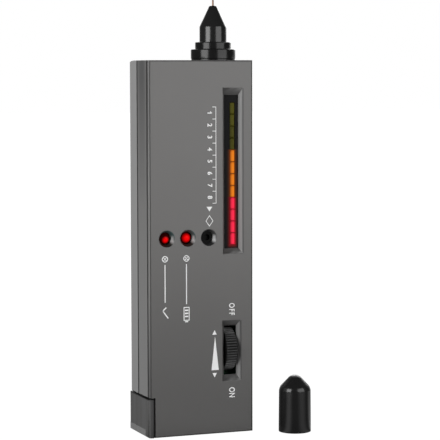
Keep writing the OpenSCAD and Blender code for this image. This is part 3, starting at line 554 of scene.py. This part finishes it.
# Painted highlight: the crown is paler near its top.
wear_and_highlight = ramp(finish.height - CAP_TOP, -0.9, 0) * (0.4 + finish.handled * 0.6)
finish.feed("Base Color", finish.mix(wear_and_highlight, finish.tone, grey(0.22)))
print(f"nose from {NOSE_Z / MM:.1f} mm, cap up to {CAP_TOP / MM:.1f} mm")

# %% [markdown]
# ## Thumbwheel
# The wheel is a duller black. Its rib crests are a dark grey and the grooves between them get painted
# shade that keeps them black, so the colour follows the distance from the axle. Ribs could be given
# two materials, but a soft change looks worn and a hard one looks painted. At the top and foot of
# what shows, the ribs turn towards the light and get painted light that makes them paler.

# %% Wheel finish
WHEEL_LOW, WHEEL_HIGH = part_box("volume_wheel")
WHEEL_MIDDLE = (WHEEL_LOW + WHEEL_HIGH) / 2
WHEEL_R = (WHEEL_HIGH.z - WHEEL_LOW.z) / 2
finish = Finish("wheel_black", {"IOR": 1.5, "Specular IOR Level": 0.3})
x, y, z = finish.parts(finish.place())
ahead, rise = y - WHEEL_MIDDLE.y, z - WHEEL_MIDDLE.z
reach = (ahead * ahead + rise * rise) ** 0.5
# Painted shade keeps the grooves between the crests black.
crest = ramp(reach - WHEEL_R, -0.25, -0.05)
worn = finish.noise(500, 2)
# Painted light on the ribs at the top and the foot of what shows.
painted_light_ends = ramp(rise, 6.5, 8.5).most(ramp(rise, -3.5, -6.5))
rib_tone = finish.mix(painted_light_ends, grey(0.019), grey(0.17))
finish.feed("Base Color", finish.mix(crest * (0.7 + worn * 0.6), grey(0.001), rib_tone))
finish.feed("Roughness", 0.5 - crest * 0.14 + (worn - 0.5) * 0.1)
finish.bump(worn, 0.006)
print(f"wheel of {WHEEL_R / MM:.2f} mm radius")

# %% [markdown]
# ## Lenses of the bar
# The bar's lenses are tinted and diffusing. Clear plastic with a lamp inside would be truer, but
# slow and grainy, so the glow is painted as emission. A lit lens glows most along a line a little to
# the right of its middle, fades to its sides and dims towards its own two ends. The unlit ones are a
# dull olive, the lower two duller still.

# %% Lens finishes
BAR_LOW, BAR_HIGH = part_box("red_bar_leds")
BAR_X = (BAR_LOW.x + BAR_HIGH.x) / 2
LENS_HALF = (BAR_HIGH.x - BAR_LOW.x) / 2
LENS_PITCH = (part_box("orange_bar_leds")[0].z - BAR_LOW.z) / 4
LENS_START = BAR_HIGH.z - 4 * LENS_PITCH
GLOW_X = BAR_X + 0.4 * MM
GREEN_LOW, GREEN_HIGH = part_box("green_bar_leds")


def along_lens(z):
    """0 in the middle of a lens's length and 1 at its two ends."""
    return abs(((z - LENS_START) / LENS_PITCH).fraction() - 0.5) * 2


def lens(name, tint, middle=None, edge=None):
    """A tinted lens. Middle and edge are the two glows of a lit one."""
    finish = Finish(name, {"Specular IOR Level": 0.06, "Emission Strength": 1.0 if middle else 0.0})
    x, y, z = finish.parts(finish.place())
    frosted = finish.noise(1800)
    across = abs(x - GLOW_X) / LENS_HALF
    fall = (across ** 2.0 * 0.6 + along_lens(z) ** 6.0 * 0.5).clamped()
    dull = (*(0.55 * part for part in tint[:3]), 1)
    lower = z < (GREEN_LOW.z + GREEN_HIGH.z) / 2
    dulled = (fall * 0.8 + frosted * 0.3 + lower * 0.45).clamped()
    finish.feed("Base Color", finish.mix(dulled, tint, dull))
    finish.feed("Roughness", 0.3 + frosted * 0.1)
    if middle:
        finish.feed("Emission Color", finish.mix(fall, middle, edge))


lens("led_unlit", (0.09, 0.086, 0.004, 1))
lens("led_orange", (0.08, 0.03, 0.002, 1), (0.76, 0.19, 0.006, 1), (0.14, 0.02, 0.0, 1))
lens("led_red", (0.08, 0.004, 0.008, 1), (0.94, 0.022, 0.07, 1), (0.18, 0.0, 0.005, 1))
print(f"lenses at x {BAR_X / MM:.2f} mm, {LENS_PITCH / MM:.2f} mm apart")

# %% [markdown]
# ## Glow beside the lit lenses
# Beside each lit lens the black holder picks up a faint red or orange light, as a smoked window over
# the lenses would show it. A pane of tinted glass would do it too, but would dim the lenses, so the
# light is painted as emission that fades with the distance from the column. Just right of the red
# lenses it is stronger, and the gaps between the unlit ones are olive.

# %% Holder finish
GLOW_REACH, SPILL_REACH, OLIVE_GAP = 1.7 * MM, 0.5, (0.08, 0.075, 0.003, 1)
glowing = {"Emission Strength": 1.0, "Specular IOR Level": 0.06}
finish = moulded("holder_black", grey(0.006), grey(0.011), 0.5, sockets=glowing)
x, y, z = finish.parts(finish.place())
beside, below = (abs(x - BAR_X) - LENS_HALF).most(0), (LENS_START - z).most(0)
near = (1 - (beside * beside + below * below) ** 0.5 / GLOW_REACH).clamped() ** 2.0
lit = z < GREEN_LOW.z
between = (abs(x - BAR_X) < LENS_HALF) * (1 - lit) * (z < GREEN_HIGH.z)
finish.feed("Base Color", finish.mix(between, finish.tone, OLIVE_GAP))
by_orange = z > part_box("orange_bar_leds")[0].z
tone = finish.mix(by_orange, (0.17, 0.001, 0.003, 1), (0.1, 0.02, 0.0, 1))
glow = finish.mix(near * lit, (0, 0, 0, 1), tone)
past = x - BAR_X - LENS_HALF
by_red = (past > -0.1 * MM) * (z < BAR_HIGH.z) * (z > LENS_START) * (along_lens(z) < 0.9)
spill = ramp(past, SPILL_REACH, 0) * by_red
finish.feed("Emission Color", finish.mix(spill, glow, (0.5, 0.005, 0.02, 1)))
print(f"glow reaches {GLOW_REACH / MM:.1f} mm from a lens")

# %% [markdown]
# ## Round red lamps
# A lamp is brightest at its crown and darkens to its rim, where the lens is seen edge on. The glow
# follows the distance from the nearer lamp's axis, so one finish serves both where two could be
# made. The first one's glow sits lower and is smaller.

# %% Lamp finish
LAMP_NODES, LAMP_CENTRES = WELL_NODES[:2], WELL_CENTRES[:2]
LAMP_R, GLOW_DROP = 2.5, 0.5
finish = Finish("lamp_red", {"Specular IOR Level": 0.04, "Emission Strength": 1.0})
x, y, z = finish.parts(finish.place())
across = abs(x - LAMP_CENTRES[0].x).least(abs(x - LAMP_CENTRES[1].x))
second = x > (LAMP_CENTRES[0].x + LAMP_CENTRES[1].x) / 2
rise = z - LAMP_CENTRES[0].z + (1 - second) * GLOW_DROP * MM
out = (across * across + rise * rise) ** 0.5 / (LAMP_R * MM) * (1.18 - second * 0.3)
frosted = finish.noise(1500)
finish.feed("Base Color", finish.mix(frosted, (0.03, 0.001, 0.001, 1), (0.02, 0.001, 0.001, 1)))
finish.feed("Roughness", 0.16 + frosted * 0.08)
fall = ((out - 0.28) / 0.45).clamped()
finish.feed("Emission Color", finish.mix(fall, (0.86, 0.0, 0.001, 1), (0.01, 0.0, 0.0, 1)))
print(f"lamps at x {LAMP_CENTRES[0].x / MM:.2f} and {LAMP_CENTRES[1].x / MM:.2f} mm")

# %% [markdown]
# ## Metals
# Screws, nut and spring are plated steel, the plate on the back is brushed steel, and the tip is
# copper. Brushing could be modelled as scratches, but they are finer than any mesh: noise drawn out
# along one axis stands for them, and also breaks up the gloss.


# %% Metal finishes
def metal(name, dark, light, rough, stretch=(1, 1, 1), scale=400, depth=0.004):
    """Bare metal between two tones. Stretch draws the scratches out along an axis."""
    finish = Finish(name, {"Metallic": 1.0})
    brushed = finish.noise(scale, 3, stretch)
    finish.feed("Base Color", finish.mix(brushed, dark, light))
    finish.feed("Roughness", rough + (brushed - 0.5) * 0.2)
    finish.bump(brushed, depth)


metal("screw_steel", grey(0.45), grey(0.6), 0.32)
metal("terminal_steel", grey(0.6, 0.02), grey(0.72, 0.02), 0.22)
metal("nut_steel", grey(0.5), grey(0.64), 0.26)
metal("touch_steel", grey(0.46), grey(0.62), 0.34, stretch=(1, 1, 0.02), scale=5000, depth=0.003)
metal("contact_brass", (0.6, 0.42, 0.14, 1), (0.74, 0.54, 0.22, 1), 0.28)
metal("tip_copper", (0.11, 0.066, 0.045, 1), (0.22, 0.14, 0.1, 1), 0.4, stretch=(1, 1, 0.1), scale=3000)
metal("fine_wire", (0.5, 0.34, 0.1, 1), (0.64, 0.46, 0.16, 1), 0.35)
print(f"{len(FINISHES)} finishes so far")

# %% [markdown]
# ## Hidden insides
# The board and the battery are seen only when a shell is taken off, and still get their own finish:
# solder mask with copper runs under it, and a plain lacquered battery jacket. Real runs would need a
# drawing of the circuit, so a wave across the board, broken up by noise, stands for them.

# %% Board and battery
TRACK_PITCH = 2.54 * MM
JACKET_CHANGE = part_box("battery")[0].lerp(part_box("battery")[1], 0.7).z
finish = Finish("board_green", {"IOR": 1.5})
x, y, z = finish.parts(finish.place())
weave = finish.noise(700)
tracks = ((x / TRACK_PITCH).wave() > 0.8) * (finish.noise(60, 1) > 0.5)
finish.feed("Base Color", finish.mix(tracks, (0.012, 0.085, 0.035, 1), (0.03, 0.15, 0.06, 1)))
finish.feed("Roughness", 0.3 + weave * 0.15)
finish.bump(tracks * 0.6 + weave * 0.2, 0.02)

finish = Finish("battery_jacket", {"IOR": 1.5})
wear_and_highlight = finish.noise(160, 4)
upper = finish.parts(finish.place())[2] > JACKET_CHANGE
finish.feed("Base Color", finish.mix(upper, grey(0.03), (0.3, 0.17, 0.05, 1)))
finish.feed("Roughness", 0.24 + wear_and_highlight * 0.16)
finish.feed("Metallic", upper * 0.8)
print(f"{len(FINISHES)} finishes in all")

# %% [markdown]
# ## Giving the solids their finish
# The record names a slot for each solid. Each could be given its material by name, but each slot has
# a finish of the same name, so the solids that stay as they are take theirs in one loop.

# %% Finishes on the solids
SLOT_OF = {part["node"]: part["material_slot"] for part in frame["record"]["subparts"]}
for node, solid in frame["nodes"].items():
    solid.data.materials.clear()
    solid.data.materials.append(FINISHES[SLOT_OF[node]])
print(f"{len(SLOT_OF)} solids have one of {len(set(SLOT_OF.values()))} finishes")

# %% [markdown]
# ## Front shell
# A moulded edge is never knife sharp. The shell could be modelled again with rounds, but its solid
# is right in all but the edges. Its mesh is loose triangles, so a copy is merged, its flat faces are
# dissolved back into whole ones, and the edges that lie in the face get a small round. Weighted
# normals then keep the big faces flat in the light.

# %% Front shell
SMOOTH_ANGLE, FLAT_ANGLE, SHARP_ANGLE = map(math.radians, (35, 0.5, 20))
WELD, TINY, IN_PLANE = 0.0005 * MM, 0.001 * MM, 0.02 * MM
BODY_OF = {n: body for body, nodes in frame["record"]["behaviour"]["bodies"].items() for n in nodes}


def settle(bm, name, finish, body, nodes=(), flats=False):
    """Turns a bmesh into a piece that rides on a body, if one is named, and stands for the solids."""
    mesh = bpy.data.meshes.new(name)
    loose = sum(not e.is_manifold for e in bm.edges)
    bm.to_mesh(mesh)
    bm.free()
    mesh.shade_smooth()
    mesh.set_sharp_from_angle(angle=SMOOTH_ANGLE)
    mesh.materials.append(FINISHES[finish])
    piece = bpy.data.objects.new(name, mesh)
    bpy.context.scene.collection.objects.link(piece)
    if flats:
        weigh = piece.modifiers.new("flat_faces", "WEIGHTED_NORMAL")
        weigh.keep_sharp = True
    if body:
        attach(piece, body)
    if nodes:
        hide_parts(*nodes)
    print(f"{name}: {len(mesh.polygons)} faces, {loose} open edges")
    return piece


def softened(name, node, chosen, width):
    """A copy of a solid with a round of that width in millimetres on the chosen sharp edges."""
    bm = bmesh.new()
    bm.from_mesh(frame["nodes"][node].data)
    bmesh.ops.remove_doubles(bm, verts=bm.verts, dist=WELD)
    bmesh.ops.dissolve_limit(bm, angle_limit=FLAT_ANGLE, verts=bm.verts, edges=bm.edges)
    sharp = [e for e in bm.edges if e.is_manifold and e.calc_face_angle() > SHARP_ANGLE]
    edges = [e for e in sharp if chosen(e)]
    bmesh.ops.bevel(
        bm, geom=edges, offset=width * MM, affect="EDGES", segments=3, profile=0.5, material=-1,
        clamp_overlap=True)
    bmesh.ops.dissolve_degenerate(bm, dist=TINY, edges=bm.edges)
    print(f"{len(edges)} edges of {node} rounded")
    return settle(bm, name, SLOT_OF[node], BODY_OF[node], [node], flats=True)


def in_front(level):
    """A test for the edges that lie in a front at that y."""
    return lambda edge: all(v.co.y < level + IN_PLANE for v in edge.verts)


softened("case_front", "front_shell", in_front(FRONT_Y), 0.22)

# %% [markdown]
# ## Rear shell, door and touch plate
# The same helper rounds what shows of the other mouldings: the long outer edges of the rear half and
# of the door, and the rim of the steel plate on the back. A Bevel modifier would round every edge.
# Here only edges that stick out are chosen, so that ribs and bosses inside keep their plain shape.

# %% Rear shell, door and touch plate
SHORT_EDGE = 1.5 * MM


def outer(node, margin):
    """A test for the convex edges of a solid that lie within a margin of its box."""
    low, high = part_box(node)

    def near_box(edge):
        middle = (edge.verts[0].co + edge.verts[1].co) / 2
        gaps = [min(at - start, end - at) for at, start, end in zip(middle, low, high)]
        return edge.is_convex and edge.calc_length() > SHORT_EDGE and min(gaps) < margin * MM

    return near_box


softened("case_rear", "rear_shell", outer("rear_shell", 0.02), 0.2)
softened("door_cover", "battery_door", outer("battery_door", 0.3), 0.15)
softened("touch_pad", "touch_plate", outer("touch_plate", 0.02), 0.12)

# %% [markdown]
# ## Lens bars
# Each lens of the bar is a small block with rounded front edges. The blocks could be made from
# cubes, but the solids already have their places, so copies of them are softened. The ends stay
# square, because the lenses stand close together and read as one divided column.

# %% Lens bars
for colour in ("green", "orange", "red"):
    softened(f"{colour}_lenses", f"{colour}_bar_leds", in_front(BAR_LOW.y), 0.25)

# %% [markdown]
# ## Turned pieces
# Collar, nose, tip and cap are round about an upright axis, as if turned on a lathe. Stacked
# cylinders and cones would leave sharp joins, so each is an outline of radius and height whose
# corners are rounded first, and which is then spun. An outline that ends on the axis stays open
# there, because the spin closes it.


# %% Collar, nose and tip
def axis_of(node):
    """The x and y of an upright solid's axis."""
    low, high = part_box(node)
    return ((low.x + high.x) / 2, (low.y + high.y) / 2)


def turned(outline, centre, steps=96):
    """Spins an outline of (radius, height, corner round) in millimetres about an upright axis."""
    bm = bmesh.new()
    points = [bm.verts.new((centre[0] + r * MM, centre[1], h * MM)) for r, h, corner in outline]
    for a, b in zip(points, points[1:]):
        bm.edges.new((a, b))
    if all(r > 0 for r, h, corner in outline):
        bm.edges.new((points[-1], points[0]))
    for width in {corner for r, h, corner in outline if corner}:
        soft = [p for p, (r, h, corner) in zip(points, outline) if corner == width]
        bmesh.ops.bevel(
            bm, geom=soft, offset=width * MM, affect="VERTICES", segments=5, profile=0.5, material=-1)
    bmesh.ops.spin(
        bm, geom=bm.verts[:] + bm.edges[:], cent=(*centre, 0), axis=(0, 0, 1), angle=2 * math.pi,
        steps=steps, use_merge=True)
    bmesh.ops.remove_doubles(bm, verts=bm.verts, dist=TINY)
    bmesh.ops.recalc_face_normals(bm, faces=bm.faces)
    return bm


COLLAR = [
    (4.5, 152, 0), (6, 152, 0), (6, 157.5, 0), (9.25, 157.5, 0), (9.25, 158.1, 0), (9.45, 158.3, 0.12),
    (9.45, 162.2, 0.4), (7.6, 162.2, 0.2), (7.6, 165.2, 0.4), (4.5, 165.2, 0)]
NOSE = [
    (4.45, 160, 0), (4.45, 165.2, 0), (5.72, 165.2, 0), (5.72, 171.7, 0.5), (1.5, 180.5, 0.3),
    (0.85, 180.5, 0), (0.85, 175.2, 0), (2, 175.2, 0), (2, 160, 0)]
TIP = [
    (0, 169.2, 0), (0.38, 169.2, 0), (0.38, 173.8, 0), (1.7, 173.8, 0), (1.7, 175.1, 0),
    (0.38, 175.1, 0), (0.38, 182.6, 0.15), (0.2, 183.2, 0.1), (0, 183.2, 0)]
PROBE = axis_of("probe_collar")
settle(turned(COLLAR, PROBE), "probe_base", "probe_black", "case", ["probe_collar"])
settle(turned(NOSE, PROBE), "probe_cone", "probe_black", "case", ["probe_nose"])
settle(turned(TIP, PROBE, steps=32), "copper_tip", "tip_copper", "tip", ["probe_tip"])

# %% [markdown]
# ## Tip spring
# The spring under the tip's stop lets the tip give by a millimetre. A curve with a round bevel would
# give the same coil. Here it is one circle of wire, carried round the axis nine times while it
# climbs. Its foot stays with the case and its head goes down with the tip, and on the case alone the
# tip would cut into it, so the piece is left on no body.

# %% Tip spring
COIL_R, WIRE_R, COIL_TURNS, TURN_STEPS, WIRE_SIDES = 1.4, 0.17, 9, 28, 10
coil_foot, coil_head = (corner.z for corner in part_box("tip_spring"))
climb = coil_head - coil_foot - 2 * WIRE_R * MM
bm = bmesh.new()
wire = bmesh.ops.create_circle(bm, cap_ends=True, segments=WIRE_SIDES, radius=WIRE_R * MM)["verts"]
at_foot = Matrix.Translation((PROBE[0] + COIL_R * MM, PROBE[1], coil_foot + WIRE_R * MM))
bmesh.ops.transform(bm, matrix=at_foot @ Matrix.Rotation(math.pi / 2, 4, "X"), verts=wire)
bmesh.ops.spin(
    bm, geom=bm.verts[:] + bm.edges[:] + bm.faces[:], cent=(*PROBE, 0), axis=(0, 0, 1),
    dvec=(0, 0, climb / (COIL_TURNS * TURN_STEPS)), angle=COIL_TURNS * 2 * math.pi,
    steps=COIL_TURNS * TURN_STEPS)
bmesh.ops.recalc_face_normals(bm, faces=bm.faces)
coil = settle(bm, "tip_coil", SLOT_OF["tip_spring"], None, ["tip_spring"])
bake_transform(coil)
print(f"coil climbs {climb / MM:.2f} mm in {COIL_TURNS} turns")

# %% [markdown]
# ## Cap
# The cap is a hollow moulding with a slight taper, a rounded shoulder and a small round crown. It is
# shown taken off, standing on the same table as the tester. A sphere could be set on a cone for the
# crown, but an arc in the outline leaves no join.

# %% Cap
CROWN_R, CROWN_H, CROWN_TURN, CROWN_STEPS = 3.8, 20.4, math.radians(46.8), 10
crown = [CROWN_TURN * (1 - step / CROWN_STEPS) for step in range(CROWN_STEPS)]
CAP = [
    (0, 19, 0), (1.38, 19, 0), (2.5, 15.3, 0), (5.82, 7.5, 0), (5.82, 0, 0), (6.87, 0, 0.2),
    (6.87, 1.2, 0.15), (6.72, 18.84, 1.35),
    *((CROWN_R * math.sin(a), CROWN_H + CROWN_R * math.cos(a), 0) for a in crown),
    (0, CROWN_H + CROWN_R, 0)]
settle(turned(CAP, axis_of("probe_cap")), "cap_cover", "cap_black", "cap", ["probe_cap"])

# %% [markdown]
# ## Lamps
# Each lamp is a domed lens with a flange at its foot and two legs that reach the board. The dome
# could be half a sphere joined to a cylinder. An outline that ends in a quarter circle needs no
# joining: it is spun like the turned pieces and then laid on its back, so that its crown looks out
# of the well.

# %% Lamps
LAMP_BASE_Y, LAMP_STRAIGHT, DOME_STEPS = -5.05, 3.7, 12
LEG_R, LEG_PITCH, LEG_SIDES = 0.25, 2.54, 16
quarter = [math.pi / 2 * step / DOME_STEPS for step in range(DOME_STEPS)]
LAMP = [
    (0, 0, 0), (2.9, 0, 0), (2.9, 0.9, 0.15), (LAMP_R, 0.9, 0),
    *((LAMP_R * math.cos(a), LAMP_STRAIGHT + LAMP_R * math.sin(a), 0) for a in quarter),
    (0, LAMP_STRAIGHT + LAMP_R, 0)]
for node, centre in zip(LAMP_NODES, LAMP_CENTRES):
    bm = turned(LAMP, (0, 0), steps=48)
    leg_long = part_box(node)[1].y / MM - LAMP_BASE_Y
    for side in (-1, 1):
        leg = bmesh.ops.create_cone(
            bm, cap_ends=True, segments=LEG_SIDES, radius1=LEG_R * MM, radius2=LEG_R * MM,
            depth=leg_long * MM)
        bmesh.ops.translate(
            bm, verts=leg["verts"], vec=(side * LEG_PITCH / 2 * MM, 0, -leg_long / 2 * MM))
    in_well = Matrix.Translation((centre.x, LAMP_BASE_Y * MM, centre.z))
    bmesh.ops.transform(bm, matrix=in_well @ Matrix.Rotation(math.pi / 2, 4, "X"), verts=bm.verts)
    settle(bm, f"{node}_lens", "lamp_red", "case", [node])

# %% [markdown]
# ## Ribs of the thumbwheel
# The wheel's edge is moulded with fine ribs for grip. They could be cut from a disc one by one. Here
# a circle with eight points to each rib is pushed in by a squared cosine wave, which leaves narrow
# grooves between broad crests, and is carried across the width ring by ring. The outermost rings are
# smaller and less ribbed, which makes the rounded rim.

# %% Thumbwheel
WHEEL_BORE, RIBS, RIB_DEPTH, POINTS_PER_RIB = 1.52, 48, 0.35, 8
WHEEL_W, RIM = (WHEEL_HIGH.x - WHEEL_LOW.x) / MM, WHEEL_R / MM
# Each ring is (distance along the axle, radius, share of the rib depth).
RINGS = [
    (0.0, RIM - 0.5, 0.0), (0.08, RIM - 0.22, 0.5), (0.3, RIM, 1.0), (WHEEL_W - 0.3, RIM, 1.0),
    (WHEEL_W - 0.08, RIM - 0.22, 0.5), (WHEEL_W, RIM - 0.5, 0.0), (WHEEL_W, WHEEL_BORE, 0.0),
    (0.0, WHEEL_BORE, 0.0)]


def set_ring(verts, along, radius, share):
    """Moves a ring of points to its radius, its ribs and its place along the axle."""
    for v in verts:
        angle = math.atan2(v.co.y, v.co.x)
        reach = radius - share * RIB_DEPTH * (0.5 - 0.5 * math.cos(RIBS * angle)) ** 2
        v.co = Vector((math.cos(angle) * reach, math.sin(angle) * reach, along)) * MM


bm = bmesh.new()
first = bmesh.ops.create_circle(bm, segments=RIBS * POINTS_PER_RIB, radius=1)["verts"]
set_ring(first, *RINGS[0])
first_edges = edges = bm.edges[:]
for spec in RINGS[1:]:
    grown = bmesh.ops.extrude_edge_only(bm, edges=edges)["geom"]
    ring = {g for g in grown if isinstance(g, bmesh.types.BMVert)}
    set_ring(ring, *spec)
    edges = [g for g in grown if isinstance(g, bmesh.types.BMEdge) and ring.issuperset(g.verts)]
bmesh.ops.bridge_loops(bm, edges=edges + first_edges)
bmesh.ops.recalc_face_normals(bm, faces=bm.faces)
axle = Matrix.Translation((WHEEL_LOW.x, WHEEL_MIDDLE.y, WHEEL_MIDDLE.z))
bmesh.ops.transform(bm, matrix=axle @ Matrix.Rotation(math.pi / 2, 4, "Y"), verts=bm.verts)
settle(bm, "thumbwheel", "wheel_black", "wheel", ["volume_wheel"])

# %% [markdown]
# ## Shapes of the print
# White print marks the scale beside the bar, the ends of the wheel's travel and the lamps. It could
# be painted into the finish of the face, but letters need true outlines, so the print is thin
# solids. Digits and the words for a switch's two ends come from a text curve that is turned into a
# mesh, and rules are thin bars. All of it reads downwards, so its local right is the case's down.

# %% Words and strokes
INK, INK_SPREAD = 0.02 * MM, 0.06 * MM
CAPITAL_SHARE = 0.7
READING_DOWN = Matrix(((0, 1, 0), (0, 0, -1), (-1, 0, 0))).to_4x4()


def on_face(x, z):
    """The place of print whose middle is at x and z of the face, in millimetres."""
    return Matrix.Translation((x * MM, FRONT_Y, z * MM)) @ READING_DOWN


def add_words(bm, words, x, z, size, narrow=1.0, gap=1.0):
    """Adds a bold word with its middle at x and z, and its capitals about size millimetres high."""
    curve = bpy.data.curves.new("print_curve", "FONT")
    curve.body = words
    curve.align_x, curve.align_y = "CENTER", "CENTER"
    curve.size = size * MM / CAPITAL_SHARE
    curve.space_character = gap
    curve.extrude = INK
    curve.offset = INK_SPREAD
    holder = bpy.data.objects.new("print_curve", curve)
    bpy.context.scene.collection.objects.link(holder)
    filled = holder.evaluated_get(bpy.context.evaluated_depsgraph_get())
    shape = bpy.data.meshes.new_from_object(filled)
    shape.transform(on_face(x, z) @ Matrix.Diagonal((narrow, 1, 1, 1)))
    bm.from_mesh(shape)
    bpy.data.objects.remove(holder)
    bpy.data.curves.remove(curve)
    bpy.data.meshes.remove(shape)


def add_stroke(bm, start, end, wide):
    """Adds a straight line between two (x, z) points of the face, in millimetres."""
    run = Vector((end[0] - start[0], 0, end[1] - start[1])) * MM
    middle = Vector((start[0] + end[0], 0, start[1] + end[1])) * MM / 2
    middle.y = FRONT_Y
    made = bmesh.ops.create_cube(bm, size=1)["verts"]
    bmesh.ops.scale(bm, verts=made, vec=(run.length + wide * MM, 2 * INK, wide * MM))
    lean = Matrix.Rotation(-math.atan2(run.z, run.x), 4, "Y")
    bmesh.ops.transform(bm, matrix=Matrix.Translation(middle) @ lean, verts=made)


print(f"print stands {INK / MM:.2f} mm proud of the face")

# %% [markdown]
# ## Scale and switch words
# The rule beside the bar has nine marks and a digit between each two, evenly spaced, so a loop sets
# them from the pitch. A short stroke lengthens the flag of the 1. The wheel's travel ends are named
# as on any switched volume wheel.

# %% Scale and switch words
RULE_X, RULE_TOP, RULE_PITCH, RULE_MARKS = 6.5, 138.05, 5.035, 9
MARK_END, DIGIT_X, DIGIT_SIZE, LINE_W = 5.08, 3.66, 1.98, 0.23
SWITCH_X, WORD_NARROW = 13.4, 0.76
bm = bmesh.new()
rule_foot = RULE_TOP - RULE_PITCH * (RULE_MARKS - 1)
add_stroke(bm, (RULE_X, rule_foot), (RULE_X, RULE_TOP), LINE_W)
for mark in range(RULE_MARKS):
    level = RULE_TOP - mark * RULE_PITCH
    add_stroke(bm, (MARK_END, level), (RULE_X - LINE_W / 2, level), LINE_W)
for digit in range(1, RULE_MARKS):
    add_words(bm, str(digit), DIGIT_X, RULE_TOP - (digit - 0.5) * RULE_PITCH, DIGIT_SIZE)
flag_foot = RULE_TOP - 0.5 * RULE_PITCH
add_stroke(bm, (DIGIT_X + 0.8, flag_foot + 0.1), (DIGIT_X + 0.4, flag_foot + 0.55), 0.3)
add_words(bm, "OFF", SWITCH_X, 52.75, 2.4, WORD_NARROW, 1.25)
add_words(bm, "ON", SWITCH_X, 17.2, 2.5, WORD_NARROW, 1.1)
bmesh.ops.remove_doubles(bm, verts=bm.verts, dist=WELD)
bmesh.ops.recalc_face_normals(bm, faces=bm.faces)
settle(bm, "face_lettering", "print_white", "case")

# %% [markdown]
# ## Signs
# Plain signs say what the rest of the face is for: a rhombus for a stone, arrows and a wedge that
# grows with the sound, and under each lamp a line that leads to a tick or to a small battery. They
# could be drawn as curves. A disc with three, four or many sides, scaled and turned, gives each of
# them with one helper, and an inset makes it an outline.

# %% Signs
DOWN, UP = -math.pi / 2, math.pi / 2
STONE_X, ARROW_X, ARROW = 3.5, 5.67, (1.3, 1.15)
READY_X, BATTERY_X, LAMP_SIGN_Z, LAMP_SIGN_R, CROSS = -16.35, -6.85, 75.0, 1.35, 0.75
OUTLINE_W, CROSS_W, LEADER_TOP, LEADER_W, TICK_W = 0.35, 0.3, 72.4, 0.4, 0.5
CELL_LEFT, CELL_RIGHT = -7.3, -6.4


def add_sign(bm, sides, x, z, tall, wide, turn=0.0, outline=0.0):
    """Adds a disc of so many sides, scaled about its middle. With an outline's width it is hollow."""
    before = set(bm.verts)
    disc = bmesh.ops.create_circle(bm, cap_ends=True, segments=sides, radius=MM)["verts"]
    shape = Matrix.Diagonal((tall, wide, 1, 1)) @ Matrix.Rotation(turn, 4, "Z")
    bmesh.ops.transform(bm, matrix=shape, verts=disc)
    face = disc[0].link_faces[0]
    if outline:
        bmesh.ops.inset_region(
            bm, faces=[face], thickness=outline * MM, use_boundary=True, use_even_offset=True)
        bmesh.ops.delete(bm, geom=[face], context="FACES_ONLY")
    sheet = [f for f in bm.faces if before.isdisjoint(f.verts)]
    grown = bmesh.ops.extrude_face_region(bm, geom=sheet)["geom"]
    bmesh.ops.translate(
        bm, verts=[g for g in grown if isinstance(g, bmesh.types.BMVert)], vec=(0, 0, 2 * INK))
    fresh = [v for v in bm.verts if v not in before]
    bmesh.ops.transform(bm, matrix=on_face(x, z) @ Matrix.Translation((0, 0, -INK)), verts=fresh)


bm = bmesh.new()
add_sign(bm, 3, STONE_X, 95.7, 1.3, 1.5, turn=DOWN)
add_sign(bm, 4, STONE_X, 90.4, 2.4, 1.7, outline=LINE_W)
add_sign(bm, 3, ARROW_X, 42.9, *ARROW, turn=UP)
add_sign(bm, 3, ARROW_X, 25.3, *ARROW, turn=DOWN)
add_sign(bm, 3, 5.9, 31.9, 9.5, 1.9, turn=UP)
for lamp_x, foot in ((READY_X, 57.0), (BATTERY_X, 56.0)):
    add_sign(bm, 24, lamp_x, LAMP_SIGN_Z, LAMP_SIGN_R, LAMP_SIGN_R, outline=OUTLINE_W)
    for lean in (-CROSS, CROSS):
        start = (lamp_x - CROSS, LAMP_SIGN_Z - lean)
        add_stroke(bm, start, (lamp_x + CROSS, LAMP_SIGN_Z + lean), CROSS_W)
    add_stroke(bm, (lamp_x, LEADER_TOP), (lamp_x, foot), LEADER_W)
add_stroke(bm, (-16.0, 54.6), (-17.4, 53.4), TICK_W)
add_stroke(bm, (-17.4, 53.4), (-15.2, 50.4), TICK_W)
add_sign(bm, 4, BATTERY_X, 51.7, 4.07, 1.87, turn=math.pi / 4, outline=OUTLINE_W)
for level, wide in ((48.4, 0.5), (53.2, 0.6), (51.9, 0.6), (50.6, 0.6)):
    add_stroke(bm, (CELL_LEFT, level), (CELL_RIGHT, level), wide)
bmesh.ops.recalc_face_normals(bm, faces=bm.faces)
settle(bm, "face_signs", "print_white", "case")
